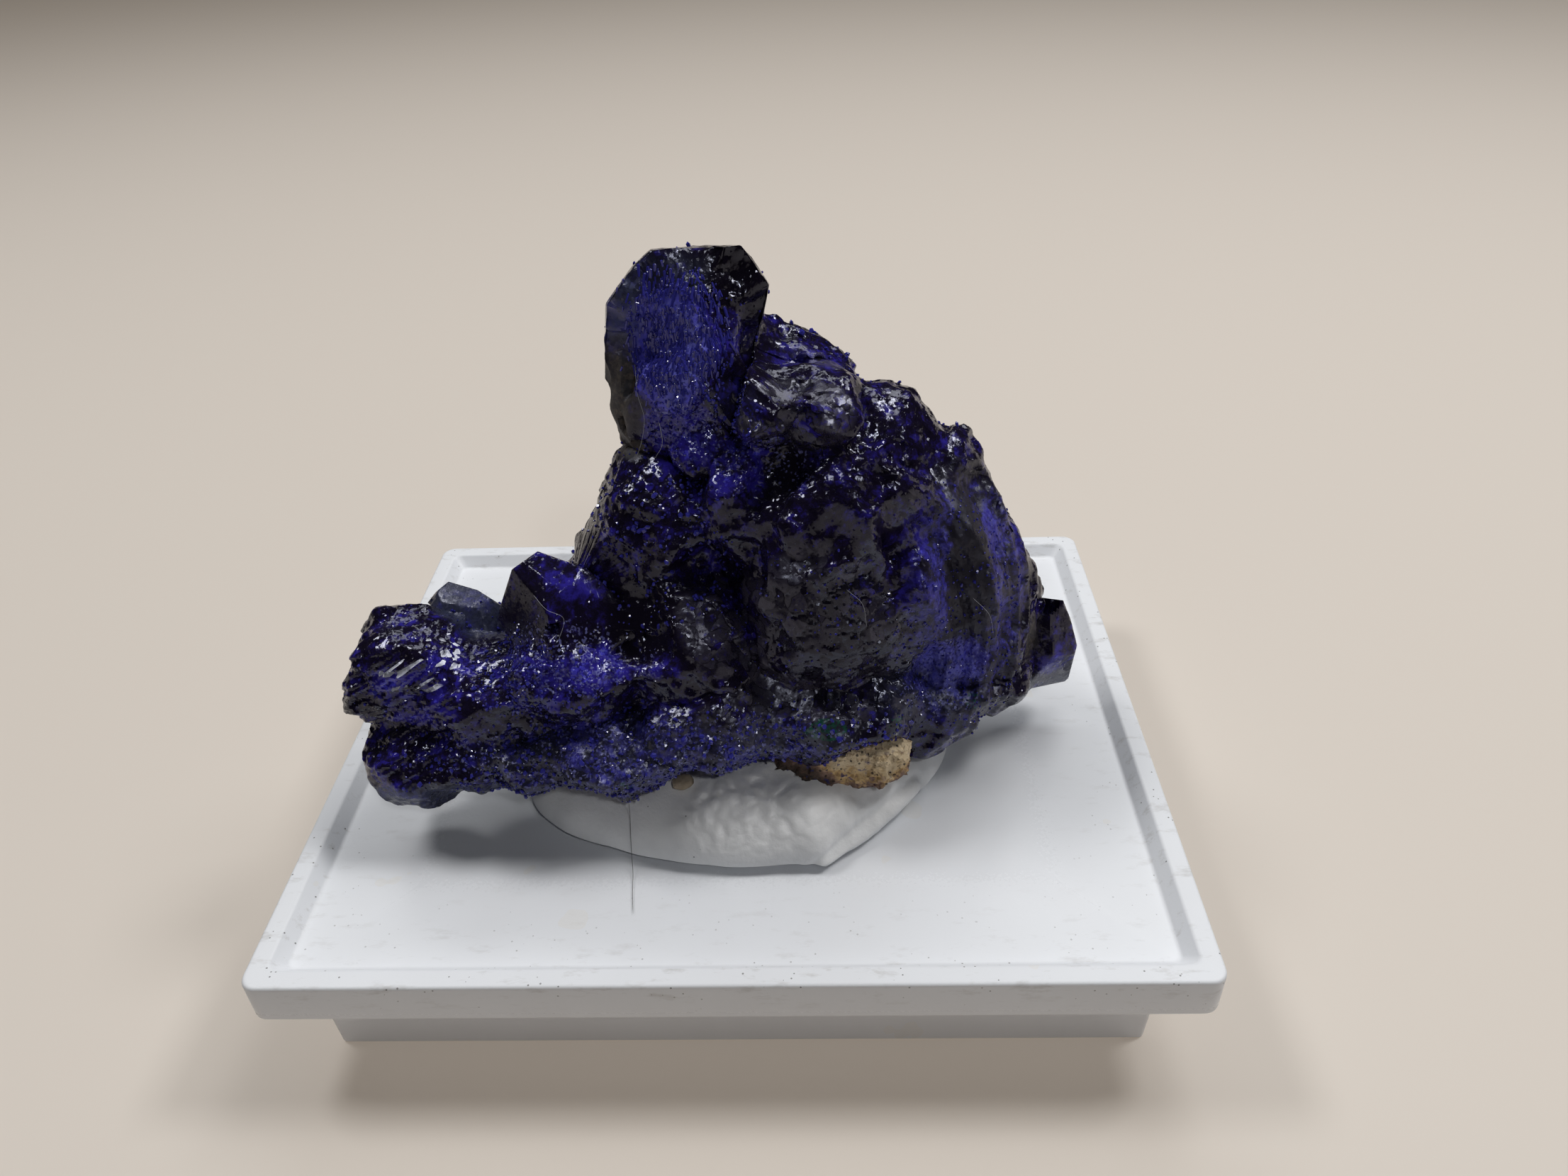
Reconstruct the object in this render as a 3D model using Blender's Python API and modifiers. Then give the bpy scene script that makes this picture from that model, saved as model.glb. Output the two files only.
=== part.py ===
"""A cluster of azurite crystals on a scrap of its matrix rock, pressed into putty on a small box base.

Four solids: box_base, mounting_putty, matrix_rock and azurite_cluster.
Frame: metres, +Z up, origin under the middle of the base. X runs to the right along the wide side,
Y runs away from the front of the specimen.
"""

import math

import bmesh
import bpy
import numpy as np
from mathutils import Euler, Matrix, Vector

MM = 0.001

# Box base, mm: a tray with a thin raised lip, on a narrower hollow plinth.
BASE_WIDTH = 50.0
BASE_DEPTH = 41.0
BASE_HEIGHT = 8.4
FLANGE_HEIGHT = 2.6
PLINTH_INSET = 2.3
PLINTH_DRAFT = 0.2
CORNER_RADIUS = 0.9
LIP_WIDTH = 1.1
LIP_SLOPE = 0.7
EDGE_BREAK = 0.18
TRAY_DEPTH = 0.8
WALL = 1.2
FLOOR_TOP = BASE_HEIGHT - TRAY_DEPTH

# Touching pieces keep this gap, mm.
GAP = 0.3

# Putty: a pressed pat, highest in the middle. Its rim is given by direction in degrees and reach in mm.
PUTTY_CENTRE = (0.0, -2.0)
PUTTY_HEIGHT = 4.6
PUTTY_RIM = [
    (-180, 13.5), (-162, 13.6), (-152, 13.4), (-141, 12.7), (-127, 11.5), (-111, 10.8), (-98, 10.6),
    (-84, 10.7), (-72, 11.0), (-65, 11.8), (-58, 11.2), (-43, 11.2), (-31, 11.6), (-21, 12.1),
    (-11, 12.6), (0, 13.0), (25, 12.9), (50, 11.4), (75, 10.4), (100, 10.3), (125, 11.0), (150, 12.6),
]

# Voxels of the fused shapes in mm, and how many triangles each piece is thinned to.
VOXEL = 0.3
ROCK_VOXEL = 0.2
CLUSTER_TRIANGLES = 7400
PUTTY_TRIANGLES = 700
ROCK_TRIANGLES = 360
CLUSTER_CUTTER_TRIANGLES = 5000
ROCK_CUTTER_TRIANGLES = 900
CLEARANCE = 0.42

# Random crystals stand on a lattice of cells that fills this box, mm.
LATTICE_LOW = (-26.0, -16.0, 5.0)
LATTICE_SIZE = (52.0, 32.0, 38.0)

# A knob has this many flat faces, shaken this much from an even spread. A block is a chamfered cube.
KNOB_FACES = 46
KNOB_SHAKE = 0.22
CHAMFER = 0.34

# Lumps of the cluster: (name, kind, centre mm, half size mm, turn in degrees about X, Y and Z).
# A knob is a round lump, a block is a crystal with chamfered edges.
LUMPS = [
    # the tower at the back left
    ("head", "knob", (-1.6, 2.0, 34.6), (3.2, 2.9, 3.7), (0, 0, 0)),
    ("head_left_rim", "block", (-4.4, 2.0, 35.0), (1.4, 2.0, 2.2), (0, 24, 0)),
    ("head_top_knob", "knob", (-2.3, 1.7, 37.8), (1.1, 1.1, 0.9), (0, 0, 0)),
    ("head_top_right", "block", (0.5, 2.0, 37.1), (1.4, 1.3, 1.3), (0, 8, 20)),
    ("head_blade", "block", (2.0, 2.4, 35.3), (0.8, 1.5, 2.0), (0, -8, 0)),
    ("head_rear", "knob", (-0.6, 4.4, 34.4), (2.7, 2.0, 3.0), (0, 0, 0)),
    ("head_foot", "knob", (-1.8, 0.3, 32.2), (2.9, 2.8, 3.0), (0, 0, 0)),
    ("side_slab", "block", (-4.7, 1.8, 31.3), (1.0, 2.2, 3.2), (0, -5, 0)),
    ("slab_foot", "knob", (-5.1, 1.4, 28.8), (1.2, 1.6, 1.2), (0, 0, 0)),
    ("neck_left", "block", (-3.4, -0.6, 29.9), (1.3, 1.5, 1.9), (0, 10, 20)),
    ("neck_right", "block", (-1.2, -1.2, 30.6), (1.7, 1.5, 1.8), (0, -15, 10)),
    # the ledge behind and the crest of the dome
    ("ledge_root", "knob", (1.6, 2.8, 31.4), (2.6, 2.4, 2.8), (0, 0, 0)),
    ("back_ledge", "block", (4.2, 4.0, 30.9), (3.2, 2.0, 1.6), (0, 26, 0)),
    ("back_ledge_end", "knob", (5.9, 3.4, 29.4), (1.5, 1.7, 1.6), (0, 0, 0)),
    ("crest", "block", (4.1, -1.0, 30.6), (3.2, 2.8, 1.9), (0, 8, 0)),
    ("crest_core", "knob", (3.5, 0.8, 28.5), (5.2, 4.2, 3.4), (0, 0, 0)),
    ("shoulder", "knob", (8.7, 0.6, 28.4), (3.2, 3.2, 2.5), (0, 28, 0)),
    ("shoulder_low", "knob", (11.5, 0.8, 25.6), (3.0, 3.4, 2.8), (0, 40, 0)),
    # the dome
    ("dome", "knob", (6.2, -0.4, 20.4), (8.2, 7.8, 9.6), (0, 0, 0)),
    ("dome_front", "knob", (5.4, -3.8, 19.6), (4.9, 4.2, 6.6), (0, 0, 0)),
    ("dome_band", "knob", (0.2, -2.0, 25.0), (2.2, 3.2, 4.8), (0, 10, 0)),
    ("dome_right", "knob", (11.4, 0.2, 20.1), (5.5, 6.0, 7.4), (0, -16, 0)),
    ("dome_edge", "knob", (15.5, 0.6, 16.8), (3.0, 3.4, 4.8), (0, -14, 0)),
    ("dome_low", "knob", (12.2, -0.6, 15.0), (5.2, 5.2, 5.0), (0, 0, 0)),
    ("dome_back", "knob", (4.0, 4.6, 18.6), (8.6, 5.0, 8.0), (0, 0, 0)),
    # the left flank
    ("flank_top", "block", (-4.6, 0.7, 25.7), (1.9, 2.8, 2.4), (0, 10, 0)),
    ("flank_corner", "block", (-6.1, 1.2, 23.2), (1.7, 2.4, 2.3), (0, 14, 0)),
    ("flank_edge", "block", (-7.3, 1.2, 21.6), (1.5, 2.2, 1.7), (0, 22, 0)),
    ("flank", "knob", (-3.4, -0.4, 22.6), (4.4, 5.4, 6.0), (0, 0, 0)),
    ("flank_low", "block", (-7.8, 0.2, 19.4), (2.5, 3.0, 1.7), (0, -24, 0)),
    ("flank_back", "knob", (-4.6, 3.4, 17.0), (5.4, 4.2, 5.4), (0, 0, 0)),
    ("inner", "knob", (-2.8, -3.4, 17.6), (5.6, 5.6, 5.2), (0, 0, 0)),
    # the crystal between the dome and the arm
    ("mid_crystal", "block", (-10.2, -4.8, 21.7), (2.0, 2.0, 2.2), (0, 14, 28)),
    ("mid_right", "block", (-7.2, -5.0, 20.0), (2.2, 2.4, 2.0), (0, 24, 10)),
    ("mid_foot", "knob", (-9.0, -6.4, 17.4), (4.0, 3.4, 3.4), (0, 0, 0)),
    ("mid_back", "knob", (-9.6, -1.6, 15.8), (4.4, 4.0, 3.4), (0, 0, 0)),
    # the arm to the left
    ("arm_core", "knob", (-13.6, -6.0, 15.6), (5.0, 3.8, 3.6), (0, 0, 0)),
    ("arm_end", "block", (-18.0, -5.7, 17.5), (2.9, 2.9, 2.8), (0, 10, 0)),
    ("arm_tip", "knob", (-20.0, -6.6, 16.8), (1.7, 2.2, 2.3), (0, 0, 0)),
    ("arm_low", "knob", (-18.3, -8.1, 12.4), (2.9, 2.7, 2.9), (0, 0, 0)),
    ("arm_low_right", "knob", (-14.8, -8.2, 12.9), (3.6, 2.6, 2.3), (0, 0, 0)),
    ("rear_ledge", "block", (-16.1, -1.4, 17.9), (1.4, 1.0, 1.8), (0, 24, 0)),
    ("rear_ledge_low", "block", (-14.2, -2.1, 17.3), (2.6, 1.5, 1.6), (0, 8, 0)),
    # the granular margin along the foot
    ("margin_left", "knob", (-11.6, -8.4, 12.8), (3.2, 2.6, 1.9), (0, 0, 0)),
    ("front_low", "knob", (-6.6, -8.3, 13.3), (4.4, 3.2, 2.4), (0, 0, 0)),
    ("front_mid", "knob", (-1.4, -7.4, 14.8), (4.6, 3.4, 2.9), (0, 0, 0)),
    ("base_mid", "knob", (4.6, -5.4, 14.6), (7.0, 4.4, 3.2), (0, 0, 0)),
    ("base_right", "knob", (11.0, -3.6, 13.1), (5.2, 3.4, 2.4), (0, -8, 0)),
    ("base_far_right", "knob", (15.0, -1.6, 12.5), (3.0, 2.8, 2.1), (0, -18, 0)),
    ("margin_right", "knob", (10.6, -5.4, 12.1), (3.2, 2.3, 1.7), (0, 0, 0)),
    ("base_back", "knob", (3.0, 1.6, 13.4), (10.0, 6.0, 3.2), (0, 0, 0)),
    # the dark crystal at the right foot
    ("right_crystal", "block", (19.2, 0.4, 12.9), (1.3, 1.4, 2.7), (0, -6, 0)),
    ("right_link", "knob", (17.6, -0.2, 12.0), (1.7, 1.8, 2.2), (0, 0, 0)),
]

# Hollows pressed into the cluster: (centre mm, radius mm, depth mm).
HOLLOWS = [
    ((-4.6, -6.6, 20.2), 1.9, 1.9),
    ((-3.6, -0.8, 33.9), 0.9, 1.2),
    ((3.4, 2.2, 33.2), 1.8, 0.9),
    ((-1.0, -4.6, 23.0), 1.4, 0.9),
    ((-13.4, -6.2, 19.0), 1.4, 1.0),
    ((10.4, 5.0, 24.0), 1.8, 0.9),
    ((-3.0, 7.6, 19.0), 2.0, 1.1),
    ((4.0, 9.0, 16.0), 1.6, 0.9),
]

# Grooves drawn in the cluster: (points mm, radius mm, depth mm).
GROOVES = [
    (((4.2, -3.6, 32.0), (3.6, -3.4, 29.1), (2.4, -4.4, 26.6), (1.8, -5.6, 23.0)), 0.75, 1.3),
    (((8.2, -3.9, 28.6), (9.2, -6.4, 23.6), (10.0, -6.8, 17.2)), 0.6, 0.8),
    (((-10.4, -7.8, 20.2), (-7.9, -9.2, 18.8)), 0.45, 0.7),
    (((-1.6, -6.6, 20.4), (2.6, -8.6, 17.0), (8.0, -8.6, 16.4)), 0.6, 0.7),
    (((-0.6, -3.0, 31.2), (-4.6, -2.4, 28.2)), 0.5, 0.7),
    (((3.0, 6.4, 26.0), (5.0, 9.2, 20.0), (4.0, 9.0, 14.0)), 0.8, 0.9),
    (((-6.0, 6.4, 20.0), (-5.6, 7.0, 14.0)), 0.7, 0.8),
]

# Two sizes of crystal that stand out of the whole surface: (cell mm, height mm, seed).
# A crystal is a cube whose corners are cut by this share, and its tip is this high at the middle.
CRYSTALS = [(3.4, 0.85, 12), (1.8, 0.5, 13)]
CORNER_CUT = 0.62
TIP_HEIGHT = 0.75
MEAN_HEIGHT = 0.55

# The calmer front face of the dome: (centre mm, half size mm), and how much of the crystals it loses.
CALM_FACE = ((6.0, -6.5, 19.5), (5.5, 5.0, 7.0))
CALM_LOSS = 0.75

# Growth rings on the right of the dome, mm.
RING_CENTRE = (5.0, -1.0, 17.5)
RING_SHAPE = (1.0, 1.6, 1.25)
RING_PITCH = 2.2
RING_HEIGHT = 0.45
RING_REGION = ((14.0, -2.0, 21.0), (6.0, 9.0, 11.0))

# Parallel stripes on the end of the arm, mm; they rise to the right.
STRIPE_WAY = (-0.42, -0.2, 0.88)
STRIPE_PITCH = 1.15
STRIPE_HEIGHT = 0.24
STRIPE_REGION = ((-18.0, -6.5, 16.0), (5.5, 7.0, 6.0))

# Matrix rock under the front of the dome, mm.
ROCK_CENTRE = (6.3, -6.7, 12.0)
ROCK_HALF = (3.8, 2.5, 1.6)
ROCK_TURN = (0, 4, -6)
ROCK_CRYSTAL = (1.7, 0.5, 5)


def clear_scene():
    """Remove whatever objects the file opened with."""
    for old in list(bpy.data.objects):
        bpy.data.objects.remove(old, do_unlink=True)


def make_collection(name):
    """Make a collection under the scene's own."""
    made = bpy.data.collections.new(name)
    bpy.context.scene.collection.children.link(made)
    return made


def make_material(name, colour, roughness, metallic=0.0):
    """Make a plain Principled material."""
    made = bpy.data.materials.new(name)
    made.use_nodes = True
    shader = made.node_tree.nodes["Principled BSDF"]
    shader.inputs["Base Color"].default_value = (*colour, 1.0)
    shader.inputs["Roughness"].default_value = roughness
    shader.inputs["Metallic"].default_value = metallic
    made.diffuse_color = (*colour, 1.0)
    return made


def make_object(name, mesh, collection, material=None):
    """Put a mesh into the scene under a name."""
    made = bpy.data.objects.new(name, mesh)
    collection.objects.link(made)
    if material is not None:
        mesh.materials.clear()
        mesh.materials.append(material)
    return made


def mesh_from(bm, name):
    """Turn a bmesh into a mesh."""
    mesh = bpy.data.meshes.new(name)
    bm.to_mesh(mesh)
    bm.free()
    return mesh


def evaluated_mesh(source, name):
    """Copy an object's mesh with its modifiers applied."""
    graph = bpy.context.evaluated_depsgraph_get()
    mesh = bpy.data.meshes.new_from_object(source.evaluated_get(graph))
    mesh.name = name
    return mesh


def placing(centre, half, turn):
    """Matrix that sizes a unit shape, turns it and puts it in place, from mm and degrees."""
    angles = Euler([math.radians(a) for a in turn], "XYZ").to_matrix().to_4x4()
    sizes = Matrix.Diagonal((*[h * MM for h in half], 1.0))
    return Matrix.Translation(Vector(centre) * MM) @ angles @ sizes


def unit(vectors):
    """The same directions with length 1."""
    return vectors / (np.linalg.norm(vectors, axis=1, keepdims=True) + 1e-9)


def knob_faces(seed):
    """Face directions and distances of a round crystal lump: evenly spread, then shaken a little."""
    order = np.arange(KNOB_FACES) + 0.5
    height = 1.0 - 2.0 * order / KNOB_FACES
    turn = order * math.pi * (3.0 - math.sqrt(5.0)) + seed
    across = np.sqrt(1.0 - height * height)
    normals = np.stack([across * np.cos(turn), across * np.sin(turn), height], axis=1)
    numbers = np.random.default_rng(seed).random((KNOB_FACES, 4))
    normals = unit(normals + (numbers[:, :3] - 0.5) * KNOB_SHAKE)
    return normals, 0.93 + 0.08 * numbers[:, 3]


def block_faces():
    """Face directions and distances of a cube with flat chamfers on its edges and corners."""
    grid = np.array([step for step in np.ndindex(3, 3, 3)], dtype=float) - 1.0
    grid = grid[np.abs(grid).sum(axis=1) > 0]
    length = np.linalg.norm(grid, axis=1)
    reach = {1: 1.0, 2: 2.0 - CHAMFER, 3: 3.0 - 2.4 * CHAMFER}
    distances = np.array([reach[int(round(v))] for v in np.abs(grid).sum(axis=1)]) / length
    return grid / length[:, None], distances


def add_lump(bm, faces, centre, half, turn):
    """Add a flat-faced lump: every direction from its middle reaches to the nearest of its faces."""
    normals, distances = faces
    made = bmesh.ops.create_icosphere(bm, subdivisions=4, radius=1.0)
    ways = np.array([vert.co for vert in made["verts"]])
    facing = np.maximum(ways @ normals.T, 1e-4)
    reach = (distances / facing).min(axis=1)
    for vert, way, length in zip(made["verts"], ways, reach):
        vert.co = Vector(way * length)
    bmesh.ops.transform(bm, matrix=placing(centre, half, turn), verts=made["verts"])


def fused(name, bm, voxel, collection):
    """Join overlapping shapes into one skin by voxels, and keep only its outside."""
    rough = make_object(name, mesh_from(bm, name), collection)
    remesh = rough.modifiers.new("one skin", "REMESH")
    remesh.mode = "VOXEL"
    remesh.voxel_size = voxel * MM
    mesh = evaluated_mesh(rough, name)
    bpy.data.objects.remove(rough)
    keep_largest_island(mesh)
    return mesh


def keep_largest_island(mesh):
    """Delete every connected part of a mesh but the one with the most vertices."""
    bm = bmesh.new()
    bm.from_mesh(mesh)
    waiting = set(bm.verts)
    islands = []
    while waiting:
        start = waiting.pop()
        island = [start]
        edge_of_island = [start]
        while edge_of_island:
            vert = edge_of_island.pop()
            for edge in vert.link_edges:
                other = edge.other_vert(vert)
                if other in waiting:
                    waiting.remove(other)
                    island.append(other)
                    edge_of_island.append(other)
        islands.append(island)
    islands.sort(key=len)
    spare = [vert for island in islands[:-1] for vert in island]
    bmesh.ops.delete(bm, geom=spare, context="VERTS")
    bm.to_mesh(mesh)
    bm.free()


def points_of(mesh):
    """Vertex places in mm and vertex normals, as arrays."""
    places = np.empty(len(mesh.vertices) * 3, dtype=np.float32)
    mesh.vertices.foreach_get("co", places)
    normals = np.empty(len(mesh.vertices) * 3, dtype=np.float32)
    mesh.vertex_normals.foreach_get("vector", normals)
    return places.reshape(-1, 3).astype(float) / MM, normals.reshape(-1, 3).astype(float)


def set_points(mesh, places):
    """Write vertex places in mm back to a mesh."""
    mesh.vertices.foreach_set("co", (places * MM).astype(np.float32).ravel())
    mesh.update()


def crystal_lattice(size, seed):
    """One crystal to each cell of the lattice: tip within the cell, three axes, and extra height."""
    spans = np.ceil(np.array(LATTICE_SIZE) / size).astype(int) + 3
    numbers = np.random.default_rng(seed).random((*spans, 10)).reshape(-1, 10)
    first = unit(numbers[:, 3:6] * 2.0 - 1.0)
    second = unit(np.cross(first, numbers[:, 6:9] * 2.0 - 1.0))
    axes = np.stack([first, second, np.cross(first, second)], axis=1)
    return spans, 0.15 + 0.7 * numbers[:, :3], axes, 0.35 * numbers[:, 9]


def crystal_heights(places, size, seed):
    """Heights 0..1 of flat-faced crystals that crowd a surface.

    Space is cut into cells of the given size with one crystal in each, turned at random. A crystal's
    height falls off evenly from its tip, in the measure of a cube with cut corners, which gives it
    flat faces. At each point the highest crystal of the cell and its 26 neighbours shows.
    """
    spans, tips, axes, extra = crystal_lattice(size, seed)
    scaled = (places - np.array(LATTICE_LOW)) / size + 1.0
    cells = np.floor(scaled).astype(int)
    best = np.full(len(places), -9.0)
    for step in np.ndindex(3, 3, 3):
        cell = cells + (np.array(step) - 1)
        number = np.ravel_multi_index(tuple(cell.T), tuple(spans))
        offset = scaled - cell - tips[number]
        sides = np.abs(np.einsum("nij,nj->ni", axes[number], offset))
        reach = np.maximum(sides.max(axis=1), CORNER_CUT * sides.sum(axis=1))
        best = np.maximum(best, extra[number] - reach)
    return np.clip(best + TIP_HEIGHT, 0.0, 1.2)


def zigzag(value):
    """A wave from -1 to 1 with straight sides, one crest to each whole number."""
    return 4.0 * np.abs(value - np.floor(value + 0.5)) - 1.0


def inside(places, centre, half):
    """1 well inside an ellipsoid, fading to 0 at its skin."""
    distance = np.linalg.norm((places - np.array(centre)) / np.array(half), axis=1)
    return np.clip((1.0 - distance) * 3.0, 0.0, 1.0)


def distance_to_line(places, line):
    """Distance from each place to the nearest point of a line of straight stretches."""
    nearest = np.full(len(places), 1e9)
    for start, end in zip(line, line[1:]):
        start = np.array(start)
        along = np.array(end) - start
        share = np.clip((places - start) @ along / (along @ along), 0.0, 1.0)
        nearest = np.minimum(nearest, np.linalg.norm(places - start - share[:, None] * along, axis=1))
    return nearest


def shape_cluster_surface(mesh):
    """Stand crystals on the fused lumps, lay the growth rings and stripes, and press the hollows in."""
    places, normals = points_of(mesh)
    calm = inside(places, *CALM_FACE)
    rise = np.zeros(len(places))
    for size, height, seed in CRYSTALS:
        crystals = crystal_heights(places, size, seed) - MEAN_HEIGHT
        rise += (1.0 - CALM_LOSS * calm) * height * crystals
    ring = np.linalg.norm((places - np.array(RING_CENTRE)) / np.array(RING_SHAPE), axis=1)
    rise += RING_HEIGHT * zigzag(ring / RING_PITCH) * inside(places, *RING_REGION)
    stripe = places @ np.array(STRIPE_WAY) / STRIPE_PITCH
    rise += STRIPE_HEIGHT * zigzag(stripe) * inside(places, *STRIPE_REGION)
    for centre, radius, depth in HOLLOWS:
        distance = np.linalg.norm(places - np.array(centre), axis=1) / radius
        rise -= depth * np.exp(-distance * distance)
    for line, radius, depth in GROOVES:
        distance = distance_to_line(places, line) / radius
        rise -= depth * np.maximum(0.0, 1.0 - 0.5 * distance)
    set_points(mesh, places + normals * rise[:, None])


def thin_out(target, triangles):
    """Add a Decimate modifier that leaves about the given number of triangles."""
    target.data.calc_loop_triangles()
    decimate = target.modifiers.new("fewer faces", "DECIMATE")
    decimate.ratio = min(1.0, triangles / len(target.data.loop_triangles))
    decimate.use_collapse_triangulate = True


def grown_copy(mesh, name, triangles, collection):
    """A cutter: the mesh swelled by the clearance, with fewer faces."""
    copy = mesh.copy()
    places, normals = points_of(copy)
    set_points(copy, places + normals * CLEARANCE)
    cutter = make_object(name, copy, collection)
    thin_out(cutter, triangles)
    cutter.hide_render = True
    cutter.display_type = "WIRE"
    return cutter


def cut_by(target, cutter):
    """Take a cutter's shape out of a piece."""
    cut = target.modifiers.new("clear of " + cutter.name, "BOOLEAN")
    cut.operation = "DIFFERENCE"
    cut.object = cutter


def make_azurite(parts, cutters):
    """The cluster of azurite crystals, one solid, and its clearance cutter."""
    bm = bmesh.new()
    for number, (_name, kind, centre, half, turn) in enumerate(LUMPS):
        faces = knob_faces(number) if kind == "knob" else block_faces()
        add_lump(bm, faces, centre, half, turn)
    mesh = fused("azurite_cluster", bm, VOXEL, parts)
    shape_cluster_surface(mesh)
    cutter = grown_copy(mesh, "azurite_clearance", CLUSTER_CUTTER_TRIANGLES, cutters)
    blue = make_material("azurite", (0.018, 0.02, 0.16), 0.25)
    cluster = make_object("azurite_cluster", mesh, parts, blue)
    thin_out(cluster, CLUSTER_TRIANGLES)
    return cutter


def make_rock(parts, cutters, azurite_cutter):
    """The scrap of ochre matrix rock under the front of the dome, and its clearance cutter."""
    bm = bmesh.new()
    add_lump(bm, block_faces(), ROCK_CENTRE, ROCK_HALF, ROCK_TURN)
    mesh = fused("matrix_rock", bm, ROCK_VOXEL, parts)
    places, normals = points_of(mesh)
    size, height, seed = ROCK_CRYSTAL
    rise = height * (crystal_heights(places, size, seed) - MEAN_HEIGHT)
    set_points(mesh, places + normals * rise[:, None])
    cutter = grown_copy(mesh, "rock_clearance", ROCK_CUTTER_TRIANGLES, cutters)
    tan = make_material("matrix rock", (0.55, 0.38, 0.2), 0.85)
    rock = make_object("matrix_rock", mesh, parts, tan)
    thin_out(rock, ROCK_TRIANGLES)
    cut_by(rock, azurite_cutter)
    return cutter


def make_putty(parts, azurite_cutter, rock_cutter):
    """The pressed pat of putty, flat below and shaped above by what is pushed into it."""
    bottom = FLOOR_TOP + GAP
    bm = bmesh.new()
    middle = placing((*PUTTY_CENTRE, bottom), (1.0, 1.0, PUTTY_HEIGHT), (0, 0, 0))
    bmesh.ops.create_icosphere(bm, subdivisions=5, radius=1.0, matrix=middle)
    below = Vector((0.0, 0.0, bottom * MM))
    everything = list(bm.verts) + list(bm.edges) + list(bm.faces)
    bmesh.ops.bisect_plane(bm, geom=everything, plane_co=below, plane_no=(0, 0, -1), clear_outer=True)
    rim = [edge for edge in bm.edges if edge.is_boundary]
    bmesh.ops.contextual_create(bm, geom=rim)
    mesh = mesh_from(bm, "mounting_putty")
    places, _normals = points_of(mesh)
    aside = places[:, :2] - np.array(PUTTY_CENTRE)
    around = np.degrees(np.arctan2(aside[:, 1], aside[:, 0]))
    angles, reaches = np.array(PUTTY_RIM).T
    reach = np.interp(around, angles, reaches, period=360.0)
    places[:, :2] = np.array(PUTTY_CENTRE) + aside * reach[:, None]
    set_points(mesh, places)
    white = make_material("putty", (0.74, 0.76, 0.79), 0.6)
    putty = make_object("mounting_putty", mesh, parts, white)
    thin_out(putty, PUTTY_TRIANGLES)
    cut_by(putty, azurite_cutter)
    cut_by(putty, rock_cutter)


def rounded_ring(half_x, half_y, radius, height, steps=4):
    """Points round a rectangle with round corners at one height, from mm."""
    points = []
    for corner in range(4):
        centre_x = (half_x - radius) * (1 if corner in (0, 3) else -1)
        centre_y = (half_y - radius) * (1 if corner in (0, 1) else -1)
        for step in range(steps + 1):
            angle = math.radians(90.0 * (corner + step / steps))
            x = centre_x + radius * math.cos(angle)
            y = centre_y + radius * math.sin(angle)
            points.append(Vector((x, y, height)) * MM)
    return points


def make_base(parts):
    """The white box base: rings from the middle of the tray over the lip and down inside the plinth."""
    half_x = BASE_WIDTH / 2
    half_y = BASE_DEPTH / 2
    step_z = BASE_HEIGHT - FLANGE_HEIGHT
    foot = PLINTH_INSET + PLINTH_DRAFT
    profile = [
        (LIP_WIDTH + LIP_SLOPE, FLOOR_TOP),
        (LIP_WIDTH, BASE_HEIGHT),
        (EDGE_BREAK, BASE_HEIGHT),
        (0.0, BASE_HEIGHT - EDGE_BREAK),
        (0.0, step_z + EDGE_BREAK),
        (EDGE_BREAK, step_z),
        (PLINTH_INSET, step_z),
        (foot, EDGE_BREAK),
        (foot + EDGE_BREAK, 0.0),
        (foot + WALL, 0.0),
        (PLINTH_INSET + WALL, FLOOR_TOP - WALL),
    ]
    bm = bmesh.new()
    rings = []
    for inset, height in profile:
        radius = max(0.3, CORNER_RADIUS - 0.25 * inset)
        ring = rounded_ring(half_x - inset, half_y - inset, radius, height)
        rings.append([bm.verts.new(point) for point in ring])
    for inner, outer in zip(rings, rings[1:]):
        for index in range(len(inner)):
            following = (index + 1) % len(inner)
            bm.faces.new((inner[index], outer[index], outer[following], inner[following]))
    bm.faces.new(rings[0])
    bm.faces.new(list(reversed(rings[-1])))
    bmesh.ops.recalc_face_normals(bm, faces=bm.faces)
    white = make_material("white plastic", (0.8, 0.82, 0.86), 0.35)
    make_object("box_base", mesh_from(bm, "box_base"), parts, white)


def main():
    """Build the whole specimen."""
    clear_scene()
    parts = make_collection("azurite specimen")
    cutters = make_collection("cutters")
    azurite_cutter = make_azurite(parts, cutters)
    rock_cutter = make_rock(parts, cutters, azurite_cutter)
    make_putty(parts, azurite_cutter, rock_cutter)
    make_base(parts)


main()
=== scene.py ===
import math

import bpy
import numpy as np
from bpy.props import FloatProperty, FloatVectorProperty, PointerProperty
from mathutils import Euler, Matrix, Vector


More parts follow.
